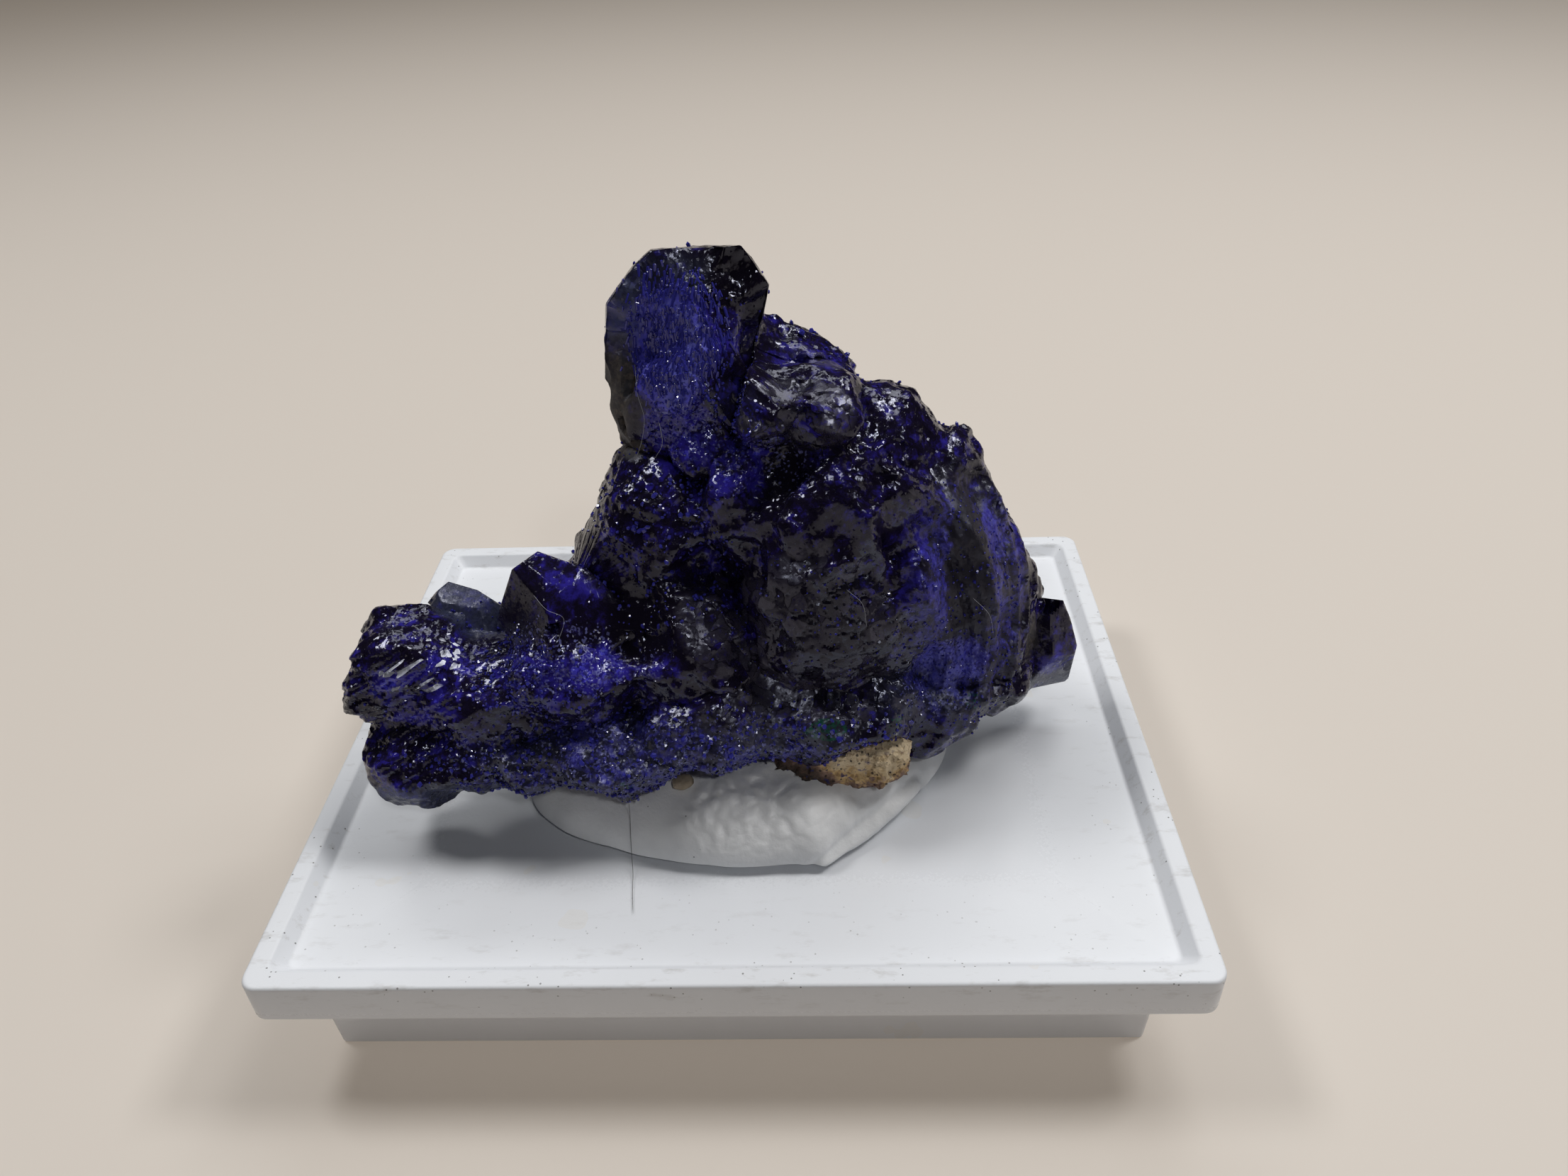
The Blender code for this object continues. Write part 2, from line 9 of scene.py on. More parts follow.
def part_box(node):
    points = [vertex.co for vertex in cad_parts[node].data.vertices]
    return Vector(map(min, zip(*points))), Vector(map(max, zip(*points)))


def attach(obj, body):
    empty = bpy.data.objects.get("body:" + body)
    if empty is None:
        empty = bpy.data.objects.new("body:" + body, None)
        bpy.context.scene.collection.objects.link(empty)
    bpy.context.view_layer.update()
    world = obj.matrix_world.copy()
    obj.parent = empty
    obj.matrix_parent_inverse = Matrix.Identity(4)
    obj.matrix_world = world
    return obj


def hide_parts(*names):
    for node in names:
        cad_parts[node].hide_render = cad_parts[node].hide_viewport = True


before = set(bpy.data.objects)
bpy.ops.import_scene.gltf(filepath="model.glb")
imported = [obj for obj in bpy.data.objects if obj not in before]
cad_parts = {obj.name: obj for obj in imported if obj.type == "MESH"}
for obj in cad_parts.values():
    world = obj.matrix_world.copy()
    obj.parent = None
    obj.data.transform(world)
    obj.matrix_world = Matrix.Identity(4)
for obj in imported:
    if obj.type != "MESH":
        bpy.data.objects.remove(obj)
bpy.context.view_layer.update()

bl_info = {
    "name": "Azurite Specimen",
    "version": (1, 0, 0),
    "blender": (4, 5, 0),
    "location": "3D View > Sidebar > Specimen",
    "description": "Builds an azurite crystal cluster in putty on its box base",
    "category": "Object",
}

MM = 0.001
ROOT = "root"

# ---------------------------------------------------------------------------------------------
# Measures of the specimen, mm. The cluster's lumps, hollows and grooves are those of its solid.

# A knob has this many flat faces, shaken this much from an even spread. A block is a chamfered cube.
KNOB_FACES = 46
KNOB_SHAKE = 0.22
CHAMFER = 0.34
# Rows of points on a lump: so many to a mm of its largest half size, but within these limits.
LUMP_ROWS = (14, 40, 110)

# Random crystals stand on a lattice of cells that fills this box.
LATTICE_LOW = np.array((-26.0, -16.0, 5.0))
LATTICE_SIZE = np.array((52.0, 32.0, 38.0))

# Lumps: (piece, kind, centre, half size, then degrees of turn about Y and about Z where it has any).
# A knob's place in the list seeds its faces.
LUMPS = [
    ("tower", "knob", (-1.6, 2.0, 34.6), (3.2, 2.9, 3.7)),  # head
    ("tower", "block", (-4.4, 2.0, 35.0), (1.4, 2.0, 2.2), 24),  # head left rim
    ("tower", "knob", (-2.3, 1.7, 37.8), (1.1, 1.1, 0.9)),  # head top knob
    ("tower", "block", (0.5, 2.0, 37.1), (1.4, 1.3, 1.3), 8, 20),  # head top right
    ("tower", "block", (2.0, 2.4, 35.3), (0.8, 1.5, 2.0), -8),  # head blade
    ("tower", "knob", (-0.6, 4.4, 34.4), (2.7, 2.0, 3.0)),  # head rear
    ("tower", "knob", (-1.8, 0.3, 32.2), (2.9, 2.8, 3.0)),  # head foot
    ("tower", "block", (-4.7, 1.8, 31.3), (1.0, 2.2, 3.2), -5),  # side slab
    ("tower", "knob", (-5.1, 1.4, 28.8), (1.2, 1.6, 1.2)),  # slab foot
    ("tower", "block", (-3.4, -0.6, 29.9), (1.3, 1.5, 1.9), 10, 20),  # neck left
    ("tower", "block", (-1.2, -1.2, 30.6), (1.7, 1.5, 1.8), -15, 10),  # neck right
    ("tower", "knob", (1.6, 2.8, 31.4), (2.6, 2.4, 2.8)),  # ledge root
    ("tower", "block", (4.2, 4.0, 30.9), (3.2, 2.0, 1.6), 26),  # back ledge
    ("tower", "knob", (5.9, 3.4, 29.4), (1.5, 1.7, 1.6)),  # back ledge end
    ("tower", "block", (4.1, -1.0, 30.6), (3.2, 2.8, 1.9), 8),  # crest
    ("dome", "knob", (3.5, 0.8, 28.5), (5.2, 4.2, 3.4)),  # crest core
    ("dome", "knob", (8.7, 0.6, 28.4), (3.2, 3.2, 2.5), 28),  # shoulder
    ("dome", "knob", (11.5, 0.8, 25.6), (3.0, 3.4, 2.8), 40),  # shoulder low
    ("dome", "knob", (6.2, -0.4, 20.4), (8.2, 7.8, 9.6)),  # dome
    ("dome", "knob", (5.4, -3.8, 19.6), (4.9, 4.2, 6.6)),  # dome front
    ("dome", "knob", (0.2, -2.0, 25.0), (2.2, 3.2, 4.8), 10),  # dome band
    ("dome", "knob", (11.4, 0.2, 20.1), (5.5, 6.0, 7.4), -16),  # dome right
    ("dome", "knob", (15.5, 0.6, 16.8), (3.0, 3.4, 4.8), -14),  # dome edge
    ("dome", "knob", (12.2, -0.6, 15.0), (5.2, 5.2, 5.0)),  # dome low
    ("dome", "knob", (4.0, 4.6, 18.6), (8.6, 5.0, 8.0)),  # dome back
    ("flank", "block", (-4.6, 0.7, 25.7), (1.9, 2.8, 2.4), 10),  # flank top
    ("flank", "block", (-6.1, 1.2, 23.2), (1.7, 2.4, 2.3), 14),  # flank corner
    ("flank", "block", (-7.3, 1.2, 21.6), (1.5, 2.2, 1.7), 22),  # flank edge
    ("flank", "knob", (-3.4, -0.4, 22.6), (4.4, 5.4, 6.0)),  # flank
    ("flank", "block", (-7.8, 0.2, 19.4), (2.5, 3.0, 1.7), -24),  # flank low
    ("flank", "knob", (-4.6, 3.4, 17.0), (5.4, 4.2, 5.4)),  # flank back
    ("flank", "knob", (-2.8, -3.4, 17.6), (5.6, 5.6, 5.2)),  # inner
    ("flank", "block", (-10.2, -4.8, 21.7), (2.0, 2.0, 2.2), 14, 28),  # mid crystal
    ("flank", "block", (-7.2, -5.0, 20.0), (2.2, 2.4, 2.0), 24, 10),  # mid right
    ("flank", "knob", (-9.0, -6.4, 17.4), (4.0, 3.4, 3.4)),  # mid foot
    ("flank", "knob", (-9.6, -1.6, 15.8), (4.4, 4.0, 3.4)),  # mid back
    ("arm", "knob", (-13.6, -6.0, 15.6), (5.0, 3.8, 3.6)),  # arm core
    ("arm", "block", (-18.0, -5.7, 17.5), (2.9, 2.9, 2.8), 10),  # arm end
    ("arm", "knob", (-20.0, -6.6, 16.8), (1.7, 2.2, 2.3)),  # arm tip
    ("arm", "knob", (-18.3, -8.1, 12.4), (2.9, 2.7, 2.9)),  # arm low
    ("arm", "knob", (-14.8, -8.2, 12.9), (3.6, 2.6, 2.3)),  # arm low right
    ("arm", "block", (-16.1, -1.4, 17.9), (1.4, 1.0, 1.8), 24),  # rear ledge
    ("arm", "block", (-14.2, -2.1, 17.3), (2.6, 1.5, 1.6), 8),  # rear ledge low
    ("foot", "knob", (-11.6, -8.4, 12.8), (3.2, 2.6, 1.9)),  # margin left
    ("foot", "knob", (-6.6, -8.3, 13.3), (4.4, 3.2, 2.4)),  # front low
    ("foot", "knob", (-1.4, -7.4, 14.8), (4.6, 3.4, 2.9)),  # front mid
    ("foot", "knob", (4.6, -5.4, 14.6), (7.0, 4.4, 3.2)),  # base mid
    ("foot", "knob", (11.0, -3.6, 13.1), (5.2, 3.4, 2.4), -8),  # base right
    ("foot", "knob", (15.0, -1.6, 12.5), (3.0, 2.8, 2.1), -18),  # base far right
    ("foot", "knob", (10.6, -5.4, 12.1), (3.2, 2.3, 1.7)),  # margin right
    ("foot", "knob", (3.0, 1.6, 13.4), (10.0, 6.0, 3.2)),  # base back
    ("point", "block", (19.2, 0.4, 12.9), (1.3, 1.4, 2.7), -6),  # right crystal
    ("point", "knob", (17.6, -0.2, 12.0), (1.7, 1.8, 2.2)),  # right link
    ("tower", "knob", (-0.9, -1.5, 28.3), (2.3, 1.7, 1.9)),  # neck foot
]

# Hollows pressed into the cluster: (centre, radius, depth).
HOLLOWS = [
    ((-4.6, -6.6, 20.2), 1.9, 1.9),
    ((-3.6, -0.8, 33.9), 0.9, 1.2),
    ((3.4, 2.2, 33.2), 1.8, 0.9),
    ((-1.0, -4.6, 23.0), 1.4, 0.9),
    ((-13.4, -6.2, 19.0), 1.4, 1.0),
    ((10.4, 5.0, 24.0), 1.8, 0.9),
    ((-3.0, 7.6, 19.0), 2.0, 1.1),
    ((4.0, 9.0, 16.0), 1.6, 0.9),
]

# Grooves drawn in the cluster: (points, radius, depth).
GROOVES = [
    (((4.2, -3.6, 32.0), (3.6, -3.4, 29.1), (2.4, -4.4, 26.6), (1.8, -5.6, 23.0)), 0.75, 1.3),
    (((8.2, -3.9, 28.6), (9.2, -6.4, 23.6), (10.0, -6.8, 17.2)), 0.6, 0.8),
    (((-10.4, -7.8, 20.2), (-7.9, -9.2, 18.8)), 0.45, 0.7),
    (((-1.6, -6.6, 20.4), (2.6, -8.6, 17.0), (8.0, -8.6, 16.4)), 0.6, 0.7),
    (((-0.6, -3.0, 31.2), (-4.6, -2.4, 28.2)), 0.5, 0.7),
    (((3.0, 6.4, 26.0), (5.0, 9.2, 20.0), (4.0, 9.0, 14.0)), 0.8, 0.9),
    (((-6.0, 6.4, 20.0), (-5.6, 7.0, 14.0)), 0.7, 0.8),
]

# Large crystals that stand out of the whole surface: (cell, height, seed). Then the share of the sum
# of a crystal's three sides at which its corners are cut, the height of its tip, the mean height of
# them all, and the face where they stand out less, by this share.
CRYSTALS = [(3.4, 0.85, 12), (1.8, 0.5, 13)]
CORNER_CUT = 0.62
TIP_HEIGHT = 0.75
MEAN_HEIGHT = 0.55
CALM_FACE = ((6.0, -6.5, 19.5), (5.5, 5.0, 7.0))
CALM_LOSS = 0.75

# Growth rings on the right of the dome, and stripes along the arm: first coarse, then fine, each as
# (ring pitch, ring height, stripe pitch, stripe height).
COARSE_LINES = (2.2, 0.45, 1.15, 0.24)
FINE_LINES = (0.62, 0.08, 0.34, 0.05)
RING_CENTRE = np.array((5.0, -1.0, 17.5))
RING_SHAPE = np.array((1.0, 1.6, 1.25))
RING_REGION = ((14.0, -2.0, 21.0), (6.0, 9.0, 11.0))
STRIPE_WAY = np.array((-0.42, -0.2, 0.88))
STRIPE_REGION = ((-18.0, -6.5, 16.0), (5.5, 7.0, 6.0))

# Flat facets that the surface is broken into, one row after another: (mean width, the way they are
# drawn out and how much longer that makes them, tilt, step, seed, places or None for everywhere).
RISING = np.array((0.879, 0.302, 0.379))
UPWARD = np.array((0.1, -0.1, 0.99))
ACROSS = np.array((0.9, -0.3, -0.3))
CREST_PLACES = [
    ((3.6, -2.8, 31.2), (3.6, 3.0, 2.2), 1.0), ((9.8, -2.6, 28.0), (2.0, 2.4, 1.6), 0.6),
    ((1.0, 0.6, 37.4), (2.6, 3.0, 1.8), 0.9), ((-5.0, -0.4, 35.4), (1.4, 3.0, 2.6), 0.8),
]
ARM_PLACES = [((-18.0, -6.4, 16.0), (5.4, 6.0, 6.2), 1.0)]
HEAD_PLACES = [((-2.0, -1.4, 34.2), (2.8, 3.6, 3.6), 1.0)]
MARGIN_PLACES = [((-4.0, -9.4, 13.6), (17.0, 4.4, 3.4), 1.0), ((-8.6, -7.4, 18.6), (5.4, 4.0, 4.4), 1.0)]
ROUGH_PLACES = [
    *MARGIN_PLACES, ((-4.0, -1.6, 24.0), (6.0, 7.0, 7.0), 1.0), ((0.0, 9.0, 20.0), (26.0, 9.0, 20.0), 1.0),
    ((0.0, -2.4, 30.4), (3.0, 3.0, 3.0), 1.0), ((6.0, 0.0, 30.0), (7.0, 6.0, 3.4), 0.7),
]
FACETS = [
    (2.3, None, 1.0, 0.28, 0.14, 101, None),
    (1.0, None, 1.0, 0.32, 0.08, 102, None),
    (0.55, None, 1.0, 0.5, 0.09, 103, ROUGH_PLACES),
    (0.62, RISING, 6.0, 0.5, 0.16, 104, ARM_PLACES),
    (0.36, UPWARD, 3.0, 0.6, 0.08, 105, HEAD_PLACES),
    (0.75, ACROSS, 1.8, 0.8, 0.2, 106, CREST_PLACES),
]
# A point slides at most this share of a facet's width. The rows for everywhere spare the calm places.
FACET_SLIDE = 0.14
SMOOTHING = 3
CALM_PLACES = [
    ((5.0, -6.8, 20.5), (5.5, 4.4, 7.4), 0.8),
    ((12.6, -4.6, 20.5), (3.6, 4.5, 9.0), 0.8),
    ((7.4, -4.6, 25.4), (4.4, 4.0, 3.6), 0.85),
    ((-18.0, -7.5, 15.6), (5.0, 4.4, 5.4), 0.7),
    ((-4.8, 1.0, 31.2), (1.6, 3.4, 3.4), 0.7),
    ((-15.4, -2.4, 17.6), (3.4, 2.4, 3.0), 0.8),
]
# Cracks along the borders of the second row's facets, fainter off the calm face.
CRACK_WIDTH = 0.07
CRACK_DEPTH = 0.09
CRACKS_ELSEWHERE = 0.3

# Large crystals at least this clean are pressed flat once more, within this share of their reach.
LEAST_CLEAN = 0.3
FINAL_REACH = 0.6
FINAL_SHARE = 1.1

# How far the skins stay below the top of the solid cluster.
TOP_MARGIN = 0.002

# Small crystals: number of sides, then height along the axis and width of each ring of corners.
CRYSTAL_SHAPES = {
    "prism": (6, [(-0.86, 1.0), (0.86, 1.0)]),
    "grain": (5, [(-0.55, 0.8), (0.5, 0.9)]),
}
# Skin this far inside another lump, as a share of the lump's half size, carries no small crystals.
HIDDEN_DEPTH = 0.86

# Crops of small crystals: (piece, shape, count, centre and half size of the place,
# smallest and largest half size, growth way or None, lean from lying to standing, spread, seed).
CROPS = [
    ("head", "prism", 900, (-2.4, -0.8, 34.6), (3.4, 3.6, 4.0), (0.05, 0.04, 0.14), (0.1, 0.08, 0.36),
     (0.1, 0.0, 1.0), 0.2, 0.28, 201),
    ("head", "grain", 160, (-1.0, -0.5, 34.0), (4.0, 4.0, 4.0), (0.05, 0.04, 0.05), (0.1, 0.08, 0.12),
     None, 0.6, 0.8, 202),
    ("head", "grain", 420, (-0.6, -2.6, 30.4), (4.0, 2.6, 2.8), (0.05, 0.05, 0.05), (0.14, 0.11, 0.16),
     None, 0.6, 0.8, 204),
    ("arm", "grain", 420, (-15.0, -6.0, 15.6), (7.5, 6.5, 6.5), (0.05, 0.05, 0.05), (0.16, 0.12, 0.18),
     None, 0.5, 0.8, 213),
    ("arm", "grain", 460, (-10.2, -7.6, 18.2), (4.8, 3.4, 2.6), (0.05, 0.05, 0.05), (0.15, 0.12, 0.17),
     None, 0.5, 0.8, 214),
    ("dome", "grain", 260, (4.4, -7.0, 19.8), (6.6, 4.6, 7.0), (0.04, 0.04, 0.04), (0.12, 0.1, 0.12),
     None, 0.5, 0.8, 222),
    ("dome", "grain", 700, (12.5, -4.2, 19.0), (5.0, 5.0, 9.4), (0.04, 0.04, 0.04), (0.12, 0.1, 0.13),
     None, 0.5, 0.8, 223),
    ("dome", "grain", 420, (-3.6, -2.6, 23.4), (5.2, 5.6, 7.0), (0.05, 0.05, 0.05), (0.18, 0.13, 0.2),
     None, 0.6, 0.8, 224),
    ("foot", "grain", 1300, (-2.0, -9.4, 13.6), (17.0, 4.2, 3.6), (0.05, 0.05, 0.05), (0.2, 0.15, 0.22),
     None, 0.6, 0.8, 231),
    ("back", "grain", 1200, (0.0, 7.0, 20.0), (26.0, 8.0, 20.0), (0.06, 0.05, 0.06), (0.24, 0.18, 0.26),
     None, 0.6, 0.8, 241),
]

# Large crystals that the surface is pressed onto: (centre, how far the surface may move, how clean
# it stays, and the flat faces by direction and distance from the centre).
CUT_CRYSTALS = [
    ((-8.9, -4.4, 21.2), 1.3, 0.85, [
        ((-0.91, -0.03, 0.40), 3.3), ((-0.55, 0.33, 0.77), 2.9), ((0.35, 0.58, 0.74), 1.7),
        ((0.68, 0.52, 0.52), 1.75), ((-0.60, -0.72, 0.35), 2.55), ((0.42, -0.80, 0.43), 2.35),
        ((0.05, -0.30, 0.95), 2.2), ((-0.25, -0.6, 0.76), 2.42), ((0.6, -0.4, 0.69), 2.3),
    ]),
    ((-15.2, -1.5, 17.4), 1.2, 0.8, [
        ((-0.72, 0.17, 0.67), 3.05), ((-0.61, 0.27, 0.75), 2.95), ((0.54, 0.61, 0.58), 1.4),
        ((0.30, 0.62, 0.73), 1.66), ((-0.10, -0.75, 0.66), 2.2), ((0.0, -0.30, 0.95), 2.2),
        ((-0.6, -0.5, 0.62), 2.75), ((0.55, -0.5, 0.67), 2.3),
    ]),
    ((18.9, 0.3, 13.4), 1.4, 0.95, [
        ((0.15, 0.55, 0.82), 2.87), ((0.92, 0.04, 0.39), 1.99), ((0.96, -0.04, 0.29), 1.85),
        ((0.94, -0.33, -0.09), 1.85), ((0.64, -0.59, -0.50), 2.45), ((-0.30, -0.90, 0.32), 2.0),
        ((0.55, -0.75, 0.36), 1.75), ((0.45, -0.86, -0.25), 1.62), ((0.15, -0.62, -0.77), 2.5),
        ((0.1, 0.2, -0.97), 2.7),
    ]),
    ((-1.2, 0.0, 34.6), 1.1, 0.55, [
        ((-0.98, -0.14, 0.14), 4.5), ((-0.76, 0.09, 0.64), 4.32), ((-0.64, 0.16, 0.76), 4.4),
        ((-0.02, 0.30, 0.95), 4.1), ((0.82, 0.22, 0.53), 4.5), ((0.96, -0.06, -0.28), 3.2),
        ((0.25, -0.60, 0.76), 3.6), ((0.74, -0.44, 0.5), 3.9), ((-0.16, -0.42, 0.89), 3.75),
        ((-0.62, -0.5, 0.6), 3.95), ((-0.82, -0.5, 0.28), 4.1),
    ]),
    ((-4.0, 0.6, 31.0), 0.9, 0.6, [
        ((-0.89, -0.33, -0.30), 2.33), ((-0.98, -0.15, 0.11), 2.3), ((-0.75, -0.62, 0.20), 1.95),
        ((-0.4, -0.9, 0.1), 2.2),
    ]),
    ((4.6, -0.6, 29.4), 0.7, 0.2, [
        ((-0.17, 0.39, 0.90), 3.44), ((0.57, 0.33, 0.76), 3.44), ((0.0, -0.25, 0.97), 2.94),
        ((-0.40, -0.55, 0.73), 3.87), ((0.1, -0.66, 0.74), 3.55), ((0.4, -0.5, 0.77), 3.66),
        ((-0.33, -0.30, 0.90), 3.55), ((0.3, -0.8, 0.52), 3.75), ((0.72, -0.35, 0.6), 3.85),
    ]),
    ((5.0, -3.6, 20.5), 0.5, 0.1, [
        ((0.0, -0.97, 0.25), 4.3), ((-0.45, -0.86, 0.25), 4.9), ((0.42, -0.87, 0.25), 4.75),
        ((0.05, -0.8, 0.6), 4.7), ((-0.35, -0.7, 0.62), 5.3), ((0.45, -0.66, 0.6), 5.2),
        ((0.0, -0.98, -0.2), 4.7), ((0.36, -0.9, -0.24), 5.0), ((-0.4, -0.88, -0.24), 5.0),
    ]),
]

# Where the crystals show blue, or less blue where the amount is below 0: (centre, half size, amount).
BLUE_GROUND = 0.33
BLUE_PATCHES = [
    ((-2.4, -1.4, 34.4), (2.8, 3.2, 3.6), 0.95),
    ((4.0, -2.8, 31.0), (3.2, 2.6, 2.2), 0.2),
    ((18.8, -0.6, 13.6), (2.0, 2.0, 1.8), 0.22),
    ((-4.8, -0.2, 35.0), (1.6, 2.4, 2.0), 0.25),
    ((0.7, -1.0, 34.6), (1.2, 2.6, 1.4), 0.3),
    ((1.0, 0.6, 37.4), (2.4, 3.4, 1.7), -0.8),
    ((2.8, 0.6, 34.6), (1.2, 3.0, 1.8), -0.4),
    ((5.0, 1.4, 31.8), (3.6, 2.6, 1.2), 0.35),
    ((-2.4, -2.8, 30.0), (2.6, 2.4, 2.6), 0.4),
    ((1.4, -4.2, 28.6), (3.4, 2.6, 2.2), 0.3),
    ((3.3, -3.4, 27.4), (1.2, 2.2, 2.6), -0.55),
    ((10.6, -5.6, 22.6), (1.7, 3.4, 6.6), 0.2),
    ((15.4, -2.6, 21.6), (1.8, 3.6, 6.6), 0.24),
    ((13.0, -4.4, 22.0), (1.3, 3.4, 5.2), -0.55),
    ((12.4, -6.0, 16.8), (2.6, 3.0, 2.4), 0.42),
    ((5.0, -8.0, 21.5), (4.6, 3.0, 5.4), -0.12),
    ((-4.4, -5.8, 20.6), (2.4, 3.4, 2.6), -0.7),
    ((-7.6, 0.6, 23.6), (2.6, 4.6, 3.6), -0.3),
    ((-7.9, -6.6, 22.0), (1.6, 3.0, 1.8), 0.12),
    ((-11.6, -6.6, 22.0), (1.3, 2.6, 2.2), -0.15),
    ((-5.8, -9.0, 19.3), (3.6, 2.6, 1.5), 0.5),
    ((-10.4, -8.8, 18.4), (3.2, 2.6, 2.0), 0.22),
    ((-4.0, -10.2, 15.0), (9.6, 3.4, 2.6), 0.12),
    ((-16.6, -7.4, 17.6), (4.0, 3.6, 2.6), 0.3),
    ((-18.0, -9.6, 13.4), (3.4, 3.0, 3.4), 0.1),
    ((-3.0, 6.0, 20.0), (9.0, 4.0, 9.0), 0.12),
]

# Other places that differ in looks, each a list like the one for blue, whose sum is kept within 0 and 1.
PATCHES = {
    # Grey-blue powder, with a painted sheen along the head's top edge and near the crest.
    "grey": [  # grey-blue powder
        ((-5.0, -0.4, 35.6), (1.5, 3.4, 2.3), 1.2), ((-2.4, 0.4, 37.4), (2.4, 2.4, 1.2), 0.45),
        ((1.2, -2.2, 31.6), (1.8, 2.0, 1.4), 0.15), ((-15.6, -2.2, 18.6), (3.4, 2.8, 2.6), 0.95),
        ((-17.0, -9.8, 11.4), (5.6, 3.0, 1.6), 0.7), ((-2.6, -2.0, 34.6), (2.6, 3.4, 3.2), 0.22),
        ((10.4, -6.4, 15.6), (4.0, 3.0, 2.4), 0.35), ((-4.0, -10.2, 14.4), (12.0, 3.2, 2.2), 0.3),
        ((19.6, -0.9, 11.0), (2.2, 1.6, 1.0), 1.3), ((-11.0, -9.6, 12.2), (3.0, 2.0, 1.2), 0.35),
    ],
    "earth": [  # brown-grey crust
        ((5.8, 1.6, 32.4), (3.2, 2.2, 1.5), 0.55), ((-4.9, -1.0, 28.6), (0.9, 1.2, 0.9), 1.0),
        ((-5.2, 1.0, 31.2), (1.7, 3.4, 3.6), 1.0), ((-5.4, 0.8, 28.6), (1.8, 2.6, 1.6), 1.0),
        ((-9.2, 2.4, 22.4), (1.6, 2.6, 2.6), 0.55), ((17.4, -1.4, 15.4), (0.8, 1.6, 2.0), 0.9),
        ((0.0, 2.0, 10.2), (12.0, 9.0, 1.6), 0.6),
    ],
    "plate": [  # dark mirror plates
        ((4.6, -8.0, 20.6), (5.4, 3.6, 6.4), 0.95), ((-0.4, -6.4, 20.6), (3.0, 3.2, 4.6), 0.6),
        ((3.6, -9.6, 16.2), (7.0, 2.6, 2.4), 0.6), ((4.0, -2.8, 31.0), (3.6, 2.6, 2.4), 0.9),
    ],
    # Where fine crystals stand up, pale blue glints of highlight are also painted into the colour.
    "glitter": [  # fine crystals that stand up and catch the light
        ((-2.2, -2.0, 34.2), (2.2, 3.0, 3.0), 1.0), ((-2.0, -3.0, 30.2), (2.6, 2.4, 2.2), 0.8),
        ((-4.0, -10.4, 14.0), (14.0, 3.4, 3.0), 0.45), ((-9.0, -7.6, 19.4), (4.0, 3.0, 2.4), 0.6),
        ((-5.8, -9.0, 19.3), (3.6, 2.6, 1.5), 0.4), ((12.0, -6.4, 16.4), (3.4, 2.6, 2.6), 0.6),
        ((2.0, -4.0, 28.6), (4.0, 2.4, 1.8), 0.5),
    ],
    "green": [  # traces of malachite
        ((5.2, -9.4, 15.4), (1.7, 1.4, 0.8), 1.0), ((9.1, -8.4, 15.0), (0.8, 0.9, 0.6), 0.9),
        ((-5.6, -11.2, 13.4), (0.7, 0.9, 0.6), 0.9), ((13.6, -6.0, 14.4), (0.8, 1.0, 0.7), 0.9),
        ((-0.6, -10.5, 14.8), (0.8, 0.8, 0.5), 0.8),
    ],
}
# Single places: (centre, half size). Long rising streaks on the arm, where near-white highlights are
# painted into the colour, the shoulder that faces the lamps too squarely, the two powdery faces, and
# the margin, which is powdery by its own smaller amount.
ARM_STREAKS = ((-17.2, -7.0, 18.6), (2.6, 3.0, 1.5))
DULL_SHOULDER = ((8.2, -4.9, 26.8), (4.0, 3.2, 3.4))
VELVET_FACES = [((13.5, -4.0, 20.5), (4.6, 6.5, 9.0)), ((-2.4, -1.8, 34.4), (2.4, 3.4, 3.4))]
VELVET_MARGIN = ((-4.0, -10.0, 14.5), (10.0, 3.4, 3.0))
MARGIN_POWDER = 0.25

# Fine threads by the points they pass through: a dark hair down the front of the putty, then the
# pale fibres caught on the crystals.
HAIR = [
    (-5.6, -11.55, 12.7), (-5.85, -10.75, 10.6), (-5.85, -11.35, 9.5), (-5.85, -11.9, 8.3),
    (-5.75, -12.6, 7.8), (-5.6, -14.0, 7.72), (-5.4, -15.4, 7.72),
]
FIBRES = [
    [(-4.3, -0.9, 33.2), (-4.2, -1.7, 31.9), (-3.9, -2.3, 30.8), (-4.2, -2.3, 29.4), (-4.7, -2.0, 28.2)],
    [(-3.0, -3.2, 31.0), (-2.9, -3.6, 30.0), (-3.4, -3.3, 29.0)],
    [(-10.2, -6.4, 22.6), (-9.4, -7.3, 22.3), (-8.6, -7.2, 21.6), (-8.9, -7.8, 20.6)],
    [(13.2, -6.0, 21.6), (14.2, -5.6, 20.2), (14.6, -5.2, 18.6)],
    [(6.4, -8.4, 24.0), (7.2, -8.6, 23.2), (7.4, -8.9, 22.0)],
]
THREAD_SIDES = 6
THREAD_STEPS = 40

# A tan pebble between the putty and the crystals: a lump with its seed, and the size of its mesh.
PEBBLE = (91, "knob", (-2.9, -9.3, 11.55), (0.62, 0.5, 0.42), 0, 20)
PEBBLE_VOXEL = 0.05

# Matrix rock under the front of the dome: the seed of its first lump, the size of its mesh, its
# crystals as (cell, height, seed), and its facets as (width, tilt, step, seed).
ROCK_SEED = 60
ROCK_VOXEL = 0.1
ROCK_CRYSTALS = (1.7, 0.5, 5)
ROCK_FACETS = [(1.0, 0.6, 0.2, 41), (0.42, 0.8, 0.1, 42)]
ROCK_LUMPS = [
    ("block", (6.3, -6.7, 12.0), (3.8, 2.5, 1.6), 4, -6),
    ("knob", (3.9, -7.4, 11.6), (1.9, 1.7, 1.2)),
    ("knob", (8.2, -7.2, 11.9), (1.9, 1.6, 1.3)),
]

